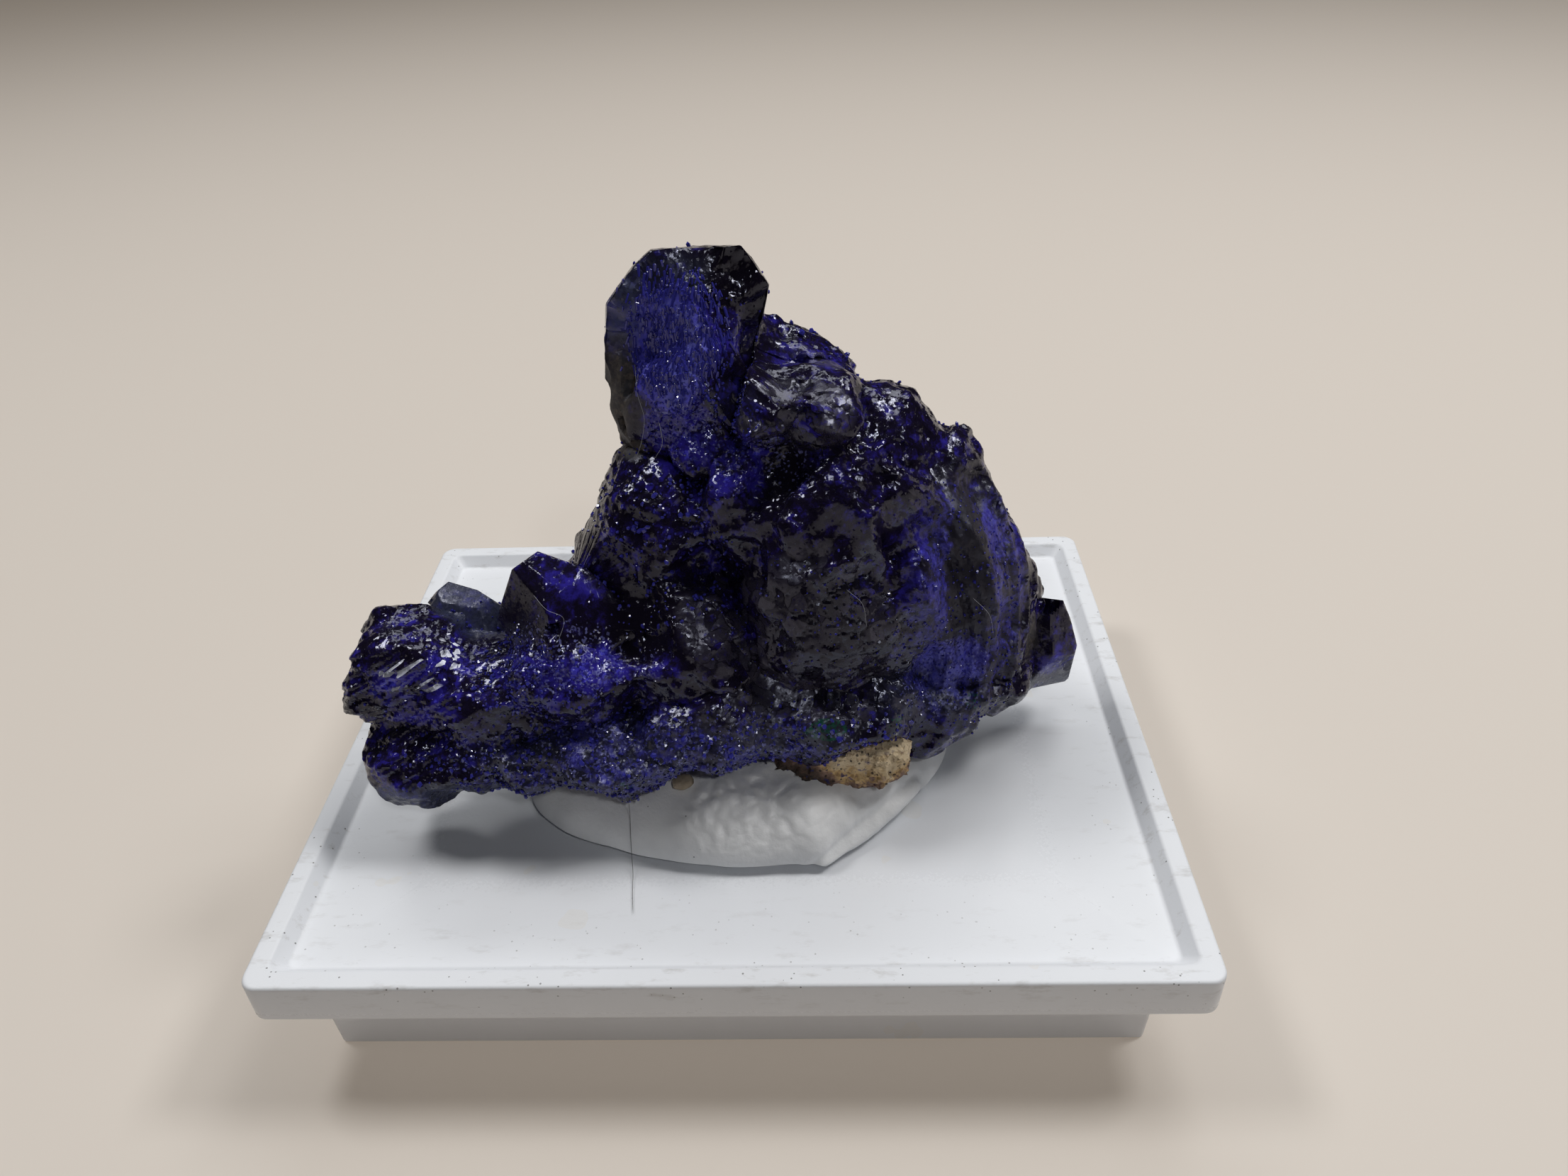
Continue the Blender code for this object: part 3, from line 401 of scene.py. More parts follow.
# Putty: its middle, height, the height of its rounded foot, and rim by direction in degrees and reach.
PUTTY_CENTRE = np.array((0.0, -2.0))
PUTTY_HEIGHT = 4.6
PUTTY_FOOT = 0.62
PUTTY_RIM = [
    (-180, 13.5), (-162, 13.6), (-152, 13.4), (-141, 12.7), (-127, 11.5), (-111, 10.8), (-98, 10.6),
    (-84, 10.7), (-72, 11.0), (-65, 11.8), (-58, 11.2), (-43, 11.2), (-31, 11.6), (-21, 12.1),
    (-11, 12.6), (0, 13.0), (25, 12.9), (50, 11.4), (75, 10.4), (100, 10.3), (125, 11.0), (150, 12.6),
]
PUTTY_GRID = (150, 420)
PUTTY_DENTS = (3.2, 0.16, 71)
# Creases: crystal-like folds as (cell, height, seed), where they show as (centre, half size, amount),
# and the line of the lip that is folded over in front.
CREASE_FOLDS = [(1.0, 0.9, 73), (0.5, 0.5, 74)]
CREASE_PLACES = [((0.8, -9.2, 9.8), (5.2, 4.2, 3.0), 1.0), ((6.0, -9.5, 9.2), (4.0, 3.5, 3.0), 0.5)]
FOLDED_LIP = ((5.1, -12.4, 7.9), (10.6, -7.4, 8.8))

# Box base.
BASE_WIDTH = 50.0
BASE_DEPTH = 41.0
BASE_HEIGHT = 8.4
FLANGE_HEIGHT = 2.6
PLINTH_INSET = 2.3
PLINTH_DRAFT = 0.2
CORNER_RADIUS = 0.9
LEAST_RADIUS = 0.3
CORNER_STEPS = 9
SIDE_STEPS = 40
LIP_WIDTH = 1.1
LIP_SLOPE = 0.7
TRAY_DEPTH = 0.8
WALL = 1.2
TRAY_MIDDLE = 9.0
SCUFFED_EDGE = 2.2
FLOOR_TOP = BASE_HEIGHT - TRAY_DEPTH

# How sharp an edge has to be, in degrees, to stay an edge in the shading.
SHARP = {"cluster": 24.0, "crystals": 12.0, "stones": 30.0, "base": 50.0}

# The camera: place in mm, and its right, down and forward ways.
CAMERA_PLACE = (5.1376, -55.3355, 57.1811)
CAMERA_RIGHT = (0.99927, 0.01645, -0.03436)
CAMERA_DOWN = (-0.01863, -0.57562, -0.81751)
CAMERA_FORWARD = (-0.03323, 0.81756, -0.57489)
CAMERA_LENS = 26.04

# The floor's half width, the point that the lamps face, and the faint light of the room.
FLOOR_REACH = 1500.0
LIT_POINT = (0.0, -4.0, 12.0)
ROOM_COLOUR = (0.9, 0.95, 1.0, 1.0)
ROOM_LIGHT = 0.012


class SpecimenSizes(bpy.types.PropertyGroup):
    """How fine the meshes are and how large the small things on them."""

    voxel: FloatProperty(
        name="Crystal mesh size", description="Size of the cells of the crystal meshes",
        default=0.145 * MM, unit="LENGTH",
    )
    putty_creases: FloatProperty(
        name="Putty crease depth", description="Depth of the wrinkles in the putty",
        default=0.11 * MM, unit="LENGTH",
    )
    hair_radius: FloatProperty(
        name="Hair radius", description="Radius of the dark hair on the putty",
        default=0.015 * MM, unit="LENGTH",
    )
    fibre_radius: FloatProperty(
        name="Fibre radius", description="Radius of the pale fibres on the crystals",
        default=0.01 * MM, unit="LENGTH",
    )


class SpecimenColours(bpy.types.PropertyGroup):
    """Colours of the specimen and of the floor it stands on."""

    deep: FloatVectorProperty(
        name="Deepest blue", description="Colour of crystal that light does not pass",
        subtype="COLOR", default=(0.006, 0.0042, 0.0105),
    )
    blue: FloatVectorProperty(
        name="Azure blue", description="Colour of crystal that light passes",
        subtype="COLOR", default=(0.022, 0.014, 0.24),
    )
    powder: FloatVectorProperty(
        name="Powder blue", description="Colour of crushed crystal",
        subtype="COLOR", default=(0.075, 0.075, 0.40),
    )
    ochre: FloatVectorProperty(
        name="Ochre", description="Colour of the paler matrix rock",
        subtype="COLOR", default=(0.56, 0.38, 0.17),
    )
    putty: FloatVectorProperty(
        name="Putty", description="Colour of the mounting putty",
        subtype="COLOR", default=(0.80, 0.805, 0.815),
    )
    plastic: FloatVectorProperty(
        name="White plastic", description="Colour of the box base",
        subtype="COLOR", default=(0.78, 0.80, 0.84),
    )
    floor: FloatVectorProperty(
        name="Floor", description="Colour of the floor under the base",
        subtype="COLOR", default=(0.51, 0.475, 0.44),
    )


def sizes():
    """The sizes set in the sidebar."""
    return bpy.context.scene.specimen_sizes


def colours():
    """The colours set in the sidebar."""
    return bpy.context.scene.specimen_colours


# ---------------------------------------------------------------------------------------------
# Meshes.


def unit(vectors):
    """The same directions with length 1."""
    return vectors / (np.linalg.norm(vectors, axis=-1, keepdims=True) + 1e-9)


def make_mesh(name, points, quads, triangles=()):
    """A mesh from points in mm and arrays of corner numbers."""
    mesh = bpy.data.meshes.new(name)
    fours = np.asarray(quads, dtype=np.int32).reshape(-1, 4)
    threes = np.asarray(triangles, dtype=np.int32).reshape(-1, 3)
    corners = np.concatenate([fours.ravel(), threes.ravel()])
    starts = np.concatenate([np.arange(len(fours)) * 4, len(fours) * 4 + np.arange(len(threes)) * 3])
    mesh.vertices.add(len(points))
    mesh.vertices.foreach_set("co", (np.asarray(points) * MM).astype(np.float32).ravel())
    mesh.loops.add(len(corners))
    mesh.loops.foreach_set("vertex_index", corners)
    mesh.polygons.add(len(starts))
    mesh.polygons.foreach_set("loop_start", starts.astype(np.int32))
    mesh.update(calc_edges=True)
    mesh.validate()
    return mesh


def points_of(mesh):
    """Vertex places in mm and vertex normals, as arrays."""
    places = np.empty(len(mesh.vertices) * 3, dtype=np.float32)
    mesh.vertices.foreach_get("co", places)
    normals = np.empty(len(mesh.vertices) * 3, dtype=np.float32)
    mesh.vertex_normals.foreach_get("vector", normals)
    return places.reshape(-1, 3).astype(float) / MM, normals.reshape(-1, 3).astype(float)


def set_points(mesh, places):
    """Write vertex places in mm back to a mesh."""
    mesh.vertices.foreach_set("co", (places * MM).astype(np.float32).ravel())
    mesh.update()


def set_mark(mesh, name, values):
    """Store one number per vertex that the finish reads."""
    mark = mesh.attributes.new(name, "FLOAT", "POINT")
    mark.data.foreach_set("value", np.asarray(values, dtype=np.float32))


def put(name, mesh, finish, replaced=(), sharp=None):
    """Put a finished mesh into the scene as a piece that rides on the specimen's one body."""
    piece = bpy.data.objects.new(name, mesh)
    bpy.context.scene.collection.objects.link(piece)
    mesh.materials.clear()
    mesh.materials.append(finish)
    mesh.polygons.foreach_set("use_smooth", np.ones(len(mesh.polygons), dtype=bool))
    if sharp is not None:
        mesh.set_sharp_from_angle(angle=math.radians(sharp))
    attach(piece, ROOT)
    if replaced:
        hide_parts(*replaced)
    return piece


def grid_faces(rows, columns, first, last, outward=False):
    """Faces of a closed surface of two parameters: rings of points, capped by two single points.

    Point c of ring r has the number r * columns + c, and the caps are closed to the points first and
    last. Outward turns every face over, for rings that run the other way. Returns quads and triangles.
    """
    here = np.arange(rows * columns).reshape(rows, columns)
    after = np.roll(here, -1, axis=1)
    quads = np.stack([here[:-1], here[1:], after[1:], after[:-1]], axis=-1).reshape(-1, 4)
    caps = np.concatenate([
        np.stack([np.full(columns, first), here[0], after[0]], axis=-1),
        np.stack([np.full(columns, last), after[-1], here[-1]], axis=-1),
    ])
    return (quads[:, [0, 3, 2, 1]], caps[:, [0, 2, 1]]) if outward else (quads, caps)


def ball_grid(rows, columns):
    """Directions over a ball, row by row from the top, with its quads and the triangles at its poles."""
    polar = np.linspace(0.0, math.pi, rows + 1)[1:-1, None]
    around = np.linspace(0.0, 2.0 * math.pi, columns, endpoint=False)[None, :]
    body = np.stack([
        np.sin(polar) * np.cos(around), np.sin(polar) * np.sin(around), np.cos(polar) + 0.0 * around,
    ], axis=-1).reshape(-1, 3)
    ways = np.concatenate([body, [(0.0, 0.0, 1.0), (0.0, 0.0, -1.0)]])
    return ways, *grid_faces(rows - 1, columns, len(body), len(body) + 1)


def knob_faces(seed):
    """Face directions and distances of a round crystal lump: evenly spread, then shaken a little."""
    order = np.arange(KNOB_FACES) + 0.5
    height = 1.0 - 2.0 * order / KNOB_FACES
    turn = order * math.pi * (3.0 - math.sqrt(5.0)) + seed
    across = np.sqrt(1.0 - height * height)
    normals = np.stack([across * np.cos(turn), across * np.sin(turn), height], axis=1)
    numbers = np.random.default_rng(seed).random((KNOB_FACES, 4))
    normals = unit(normals + (numbers[:, :3] - 0.5) * KNOB_SHAKE)
    return normals, 0.93 + 0.08 * numbers[:, 3]


def block_faces():
    """Face directions and distances of a cube with flat chamfers on its edges and corners."""
    grid = np.array(list(np.ndindex(3, 3, 3)), dtype=float) - 1.0
    grid = grid[np.abs(grid).sum(axis=1) > 0]
    length = np.linalg.norm(grid, axis=1)
    reach = {1: 1.0, 2: 2.0 - CHAMFER, 3: 3.0 - 2.4 * CHAMFER}
    distances = np.array([reach[int(round(v))] for v in np.abs(grid).sum(axis=1)]) / length
    return grid / length[:, None], distances


def turned(points, about_y=0.0, about_z=0.0):
    """Points turned by degrees about Y, then about Z."""
    turn = Euler((0.0, math.radians(about_y), math.radians(about_z)), "XYZ").to_matrix()
    return points @ np.array(turn).T


def lumps_mesh(name, lumps):
    """Flat-faced lumps side by side in one mesh.

    A lump is a surface of two parameters, the polar angle and the angle around. In each direction it
    reaches to the nearest of its face planes: the smallest of plane distance over the cosine between
    the direction and the plane's normal. It is then sized, turned and moved into place.
    """
    points, quads, triangles = [], [], []
    filled = 0
    for number, kind, centre, half, *turn in lumps:
        normals, distances = knob_faces(number) if kind == "knob" else block_faces()
        rows = int(np.clip(max(half) * LUMP_ROWS[0], *LUMP_ROWS[1:]))
        ways, fours, threes = ball_grid(rows, rows * 2)
        reach = (distances / np.maximum(ways @ normals.T, 1e-4)).min(axis=1)
        shape = turned(ways * reach[:, None] * np.array(half), *turn) + np.array(centre)
        points.append(shape)
        quads.append(fours + filled)
        triangles.append(threes + filled)
        filled += len(shape)
    return make_mesh(name, np.concatenate(points), np.concatenate(quads), np.concatenate(triangles))


def fused(mesh, voxel):
    """One skin round overlapping shapes, by voxels of a size in metres; enclosed cavities are dropped."""
    rough = bpy.data.objects.new(mesh.name, mesh)
    bpy.context.scene.collection.objects.link(rough)
    remesh = rough.modifiers.new("one skin", "REMESH")
    remesh.mode = "VOXEL"
    remesh.voxel_size = voxel
    graph = bpy.context.evaluated_depsgraph_get()
    skin = bpy.data.meshes.new_from_object(rough.evaluated_get(graph))
    skin.name = mesh.name
    bpy.data.objects.remove(rough)
    bpy.data.meshes.remove(mesh)
    return largest_part(skin)


def edges_of(mesh):
    """The two vertex numbers of every edge."""
    ends = np.empty(len(mesh.edges) * 2, dtype=np.int32)
    mesh.edges.foreach_get("vertices", ends)
    return ends.reshape(-1, 2)


def quads_of(mesh):
    """The four vertex numbers of every face of a mesh that has only quads."""
    corners = np.empty(len(mesh.loops), dtype=np.int32)
    mesh.loops.foreach_get("vertex_index", corners)
    return corners.reshape(-1, 4)


def largest_part(mesh):
    """The connected part with the most vertices: every vertex takes the lowest number it is joined to."""
    ends = edges_of(mesh)
    label = np.arange(len(mesh.vertices))
    while True:
        low = label.copy()
        np.minimum.at(low, ends[:, 0], label[ends[:, 1]])
        np.minimum.at(low, ends[:, 1], label[ends[:, 0]])
        low = low[low]
        low = low[low]
        if np.array_equal(low, label):
            break
        label = low
    kept = label == np.bincount(label).argmax()
    if kept.all():
        return mesh
    places, _normals = points_of(mesh)
    quads = quads_of(mesh)
    new_number = np.cumsum(kept) - 1
    part = make_mesh(mesh.name, places[kept], new_number[quads[kept[quads[:, 0]]]])
    bpy.data.meshes.remove(mesh)
    return part


def inside(places, centre, half):
    """1 well inside an ellipsoid, fading to 0 at its skin."""
    distance = np.linalg.norm((places - np.array(centre)) / np.array(half), axis=1)
    return np.clip((1.0 - distance) * 3.0, 0.0, 1.0)


def amount_in(places, patches):
    """The sum of every patch's amount, each fading out at the skin of its ellipsoid."""
    total = np.zeros(len(places))
    for centre, half, amount in patches:
        total += amount * inside(places, centre, half)
    return total


def zigzag(value):
    """A wave from -1 to 1 with straight sides, one crest to each whole number."""
    return 4.0 * np.abs(value - np.floor(value + 0.5)) - 1.0


def distance_to_line(places, line):
    """Distance from each place to the nearest point of a line of straight stretches."""
    nearest = np.full(len(places), 1e9)
    for start, end in zip(line, line[1:]):
        start = np.array(start)
        along = np.array(end) - start
        share = np.clip((places - start) @ along / (along @ along), 0.0, 1.0)
        nearest = np.minimum(nearest, np.linalg.norm(places - start - share[:, None] * along, axis=1))
    return nearest


def lattice_shape(size):
    """The number of lattice cells each way, with one to spare all round."""
    return tuple(np.ceil(LATTICE_SIZE / size).astype(int) + 3)


def cells_near(places, size):
    """The lattice cell of each place, then its 26 neighbours: cell numbers, and places within cells."""
    scaled = (places - LATTICE_LOW) / size + 1.0
    cells = np.floor(scaled).astype(int)
    for step in np.ndindex(3, 3, 3):
        cell = cells + (np.array(step) - 1)
        yield np.ravel_multi_index(tuple(cell.T), lattice_shape(size), mode="clip"), scaled - cell


def crystal_heights(places, size, seed):
    """Heights 0..1 of flat-faced crystals that crowd a surface.

    Space is cut into cells of the given size with one crystal in each, turned at random. A crystal's
    height falls off evenly from its tip, in the measure of a cube with cut corners, which gives it
    flat faces. At each point the highest crystal of the cell and its 26 neighbours shows.
    """
    numbers = np.random.default_rng(seed).random((*lattice_shape(size), 10)).reshape(-1, 10)
    tips = 0.15 + 0.7 * numbers[:, :3]
    first = unit(numbers[:, 3:6] * 2.0 - 1.0)
    second = unit(np.cross(first, numbers[:, 6:9] * 2.0 - 1.0))
    axes = np.stack([first, second, np.cross(first, second)], axis=1)
    best = np.full(len(places), -9.0)
    for number, within in cells_near(places, size):
        sides = np.abs(np.einsum("nij,nj->ni", axes[number], within - tips[number]))
        reach = np.maximum(sides.max(axis=1), CORNER_CUT * sides.sum(axis=1))
        best = np.maximum(best, 0.35 * numbers[number, 9] - reach)
    return np.clip(best + TIP_HEIGHT, 0.0, 1.2)


def relief_of(places, size, height, seed):
    """The heights of such crystals about their mean, in mm."""
    return height * (crystal_heights(places, size, seed) - MEAN_HEIGHT)


def nearest_seed(places, size, seed):
    """The nearest of random seeds, one to a cell of the lattice.

    Returns the seed's number, how much further off the second nearest is in mm, and a table of four
    random numbers for every seed.
    """
    draw = np.random.default_rng(seed)
    table = draw.random((*lattice_shape(size), 7), dtype=np.float32).reshape(-1, 7)
    first = np.full(len(places), 9.0)
    second = np.full(len(places), 9.0)
    who = np.zeros(len(places), dtype=np.int64)
    for number, within in cells_near(places, size):
        distance = np.linalg.norm(within - table[number, :3], axis=1)
        nearer = distance < first
        second = np.where(nearer, first, np.minimum(second, distance))
        who = np.where(nearer, number, who)
        first = np.where(nearer, distance, first)
    return who, (second - first) * size, table[:, 3:]


def group_sums(values, index, groups):
    """The sum of the rows of values in each numbered group."""
    return np.stack([np.bincount(index, column, groups) for column in values.T], axis=1)


def flattened(places, normals, size, way, drawn, tilt, step, seed, weight):
    """Break a surface into flat facets.

    The points nearest to one random seed make a patch, in a space pressed together along the way that
    the facets are drawn out. The patch's plane goes through the mean of its points, faces their mean
    normal tilted at random, and is moved out or in by a random step. Each point slides along its own
    normal towards the plane of its patch, by the weight given for it. Returns the places, a random
    number for the patch of each, and how far each lies from the border of its patch.
    """
    squeezed = places
    if way is not None:
        squeezed = places + (1.0 / drawn - 1.0) * np.outer(places @ way, way)
    who, border, table = nearest_seed(squeezed, size, seed)
    found, index = np.unique(who, return_inverse=True)
    middle = group_sums(places, index, len(found)) / np.bincount(index)[:, None]
    facing = group_sums(normals, index, len(found)) / np.bincount(index)[:, None]
    numbers = table[found]
    facing = unit(unit(facing) + tilt * (numbers[:, :3] - 0.5))
    slope = np.maximum((normals * facing[index]).sum(axis=1), 0.5)
    slide = ((middle[index] - places) * facing[index]).sum(axis=1) / slope
    slide = np.clip(slide, -FACET_SLIDE * size, FACET_SLIDE * size) + step * (numbers[index, 3] - 0.5)
    return places + normals * (slide * weight)[:, None], numbers[index, 0], border


def smooth(mesh, passes, share=0.5):
    """Draw every vertex towards the mean of its neighbours, a few times over."""
    ends = edges_of(mesh)
    places, _normals = points_of(mesh)
    starts, stops = np.concatenate([ends, ends[:, ::-1]]).T
    count = np.bincount(starts, minlength=len(places))[:, None]
    for _pass in range(passes):
        places = places + share * (group_sums(places[stops], starts, len(places)) / count - places)
    set_points(mesh, places)


def crystal_mesh(name, shape, centres, axes, halves, seed):
    """Many small crystals in one mesh.

    Each is a surface of two parameters, the ring and the side: a point lies at the ring's height along
    the crystal's axis and at the ring's width round it, times a random width for the side, so that
    every side is flat. Both ends close in a point. The rings shift a little sideways at random.
    Returns the mesh and the number of corners of one crystal.
    """
    sides, rings = CRYSTAL_SHAPES[shape]
    count = len(centres)
    heights, widths = np.array(rings).T
    draw = np.random.default_rng(seed)
    angle = 2.0 * math.pi * (np.arange(sides) + 0.35 * (draw.random((count, 1, sides)) - 0.5)) / sides
    reach = (0.6 + 0.5 * draw.random((count, 1, sides))) * widths[None, :, None]
    shift = 0.22 * (draw.random((count, len(rings), 1, 2)) - 0.5)
    body = np.empty((count, len(rings), sides, 3))
    body[..., 0] = reach * np.cos(angle) + shift[..., 0]
    body[..., 1] = reach * np.sin(angle) + shift[..., 1]
    body[..., 2] = heights[None, :, None]
    ends = body[:, [0, -1]].mean(axis=2)
    ends[..., 2] = (-1.0, 1.0)
    local = np.concatenate([body.reshape(count, -1, 3), ends], axis=1) * halves[:, None, :]
    places = np.einsum("nvi,nij->nvj", local, axes) + centres[:, None, :]
    corners = len(rings) * sides + 2
    quads, caps = grid_faces(len(rings), sides, corners - 2, corners - 1, outward=True)
    step = (np.arange(count) * corners)[:, None, None]
    return make_mesh(name, places.reshape(-1, 3), quads + step, caps + step), corners


def in_lumps(places, lumps):
    """Whether each place is well inside any of the lumps."""
    found = np.zeros(len(places), dtype=bool)
    for row in lumps:
        found |= np.linalg.norm((places - np.array(row[2])) / np.array(row[3]), axis=1) < HIDDEN_DEPTH
    return found


def stood_on(skin, crop):
    """Centres, axes and half sizes of one crop of crystals.

    Random points of the skin within the place get one crystal each. Its long axis runs the growth way
    along the surface, or leans up to the surface's normal, and is spread at random. One side of it
    faces the surface, and about half of it stands out.
    """
    _piece, shape, count, centre, half, least, most, way, lean, spread, seed = crop
    places, normals = skin
    draw = np.random.default_rng(seed)
    order = draw.permutation(np.flatnonzero(inside(places, centre, half) > 0.05))
    order = order[inside(places[order], centre, half) > draw.random(len(order))][:count]
    at, up = places[order], normals[order]
    numbers = draw.random((len(order), 7)) * 2.0 - 1.0
    way = numbers[:, :3] if way is None else np.array([way])
    flat = unit(way - (way * up).sum(axis=1, keepdims=True) * up)
    along = unit((1.0 - lean) * flat + lean * up + spread * numbers[:, 3:6])
    across = unit(np.cross(up + 0.3 * lean * numbers[:, :3], along))
    axes = np.stack([across, np.cross(along, across), along], axis=1)
    size = np.array(least) + (np.array(most) - np.array(least)) * (draw.random((len(order), 1)) ** 2)
    size = size * (0.85 + 0.3 * draw.random((len(order), 3)))
    out = 0.12 * ((1.0 - lean) * size[:, 1] + lean * size[:, 2])
    return at + up * out[:, None], axes, size


def pressed(places, centre, reach, cuts):
    """Places moved along their line from a centre onto the flat faces round it, and how much of each.

    Face k is the plane w_k . x = d_k, so a place x at distance r in direction u belongs at
    min over k of d_k / (w_k . u). It moves by the share (reach - gap) / (0.3 reach), 0 to 1, where
    the gap outside the faces counts less than half. Beyond 1.3 times the largest d nothing moves.
    """
    offset = places - np.array(centre)
    far = np.linalg.norm(offset, axis=1)
    way = offset / far[:, None]
    ways = unit(np.array([row[0] for row in cuts]))
    toward = way @ ways.T
    limits = np.where(toward > 0.1, np.array([row[1] for row in cuts]) / np.maximum(toward, 0.1), 1e6)
    limit = limits.min(axis=1)
    gap = np.where(limit > far, limit - far, 0.45 * (far - limit))
    share = np.clip((reach - gap) / (0.3 * reach), 0.0, 1.0)
    share = share * np.clip(2.0 * (1.3 * max(row[1] for row in cuts) - far), 0.0, 1.0)
    moved = places + way * (np.where(share > 0.0, limit - far, 0.0) * share)[:, None]
    return moved, share


def along_curve(points, count):
    """Even steps along a smooth curve through the points: cubics with each point's mean slope."""
    points = np.array(points, dtype=float)
    slopes = np.gradient(points, axis=0)
    share = np.linspace(0.0, len(points) - 1.0, count)
    first = np.minimum(share.astype(int), len(points) - 2)
    t = (share - first)[:, None]
    near, far = points[first], points[first + 1]
    rise, fall = slopes[first], slopes[first + 1]
    return (
        near * (2 * t**3 - 3 * t**2 + 1) + rise * (t**3 - 2 * t**2 + t)
        + far * (3 * t**2 - 2 * t**3) + fall * (t**3 - t**2)
    )


def threads_mesh(name, lines, radius):
    """Fine threads: a small round section carried along each curve, closed to a point at both ends."""
    sides, steps = THREAD_SIDES, THREAD_STEPS
    points, quads, triangles = [], [], []
    angle = 2.0 * math.pi * np.arange(sides)[None, :, None] / sides
    width = radius * np.minimum(1.0, 6.0 * np.sin(np.linspace(0.04, math.pi - 0.04, steps)))
    for number, line in enumerate(lines):
        path = along_curve(line, steps)
        along = unit(np.gradient(path, axis=0))
        across = unit(np.cross(along, np.array((0.31, 0.52, 0.79))))
        other = np.cross(along, across)
        ring = np.cos(angle) * across[:, None, :] + np.sin(angle) * other[:, None, :]
        body = (path[:, None, :] + width[:, None, None] * ring).reshape(-1, 3)
        fours, threes = grid_faces(steps, sides, len(body), len(body) + 1, outward=True)
        quads.append(fours + number * (len(body) + 2))
        triangles.append(threes + number * (len(body) + 2))
        points.append(np.concatenate([body, path[:1], path[-1:]]))
    return make_mesh(name, np.concatenate(points), np.concatenate(quads), np.concatenate(triangles))


# ---------------------------------------------------------------------------------------------
# Finishes.


class Wire:
    """A shader socket that Python can do sums with: each operator adds a Math node."""

    def __init__(self, finish, socket):
        self.finish = finish
        self.socket = socket

    def maths(self, operation, first, second):
        """Add one Math node."""
        return self.finish.node("ShaderNodeMath", {"operation": operation}, {0: first, 1: second})

    def __add__(self, other):
        return self.maths("ADD", self, other)

    def __radd__(self, other):
        return self.maths("ADD", other, self)

    def __sub__(self, other):
        return self.maths("SUBTRACT", self, other)

    def __rsub__(self, other):
        return self.maths("SUBTRACT", other, self)

    def __mul__(self, other):
        return self.maths("MULTIPLY", self, other)

    def __rmul__(self, other):
        return self.maths("MULTIPLY", other, self)

    def __gt__(self, other):
        return self.maths("GREATER_THAN", self, other)

    def __lt__(self, other):
        return self.maths("LESS_THAN", self, other)

    def clamped(self):
        """This value kept within 0 and 1."""
        return self.finish.node("ShaderNodeClamp", {}, {"Value": self})

    def between(self, low, high):
        """0 below the low value, 1 above the high one, even in between."""
        values = {"Value": self, "From Min": low, "From Max": high}
        return self.finish.node("ShaderNodeMapRange", {"clamp": True}, values)


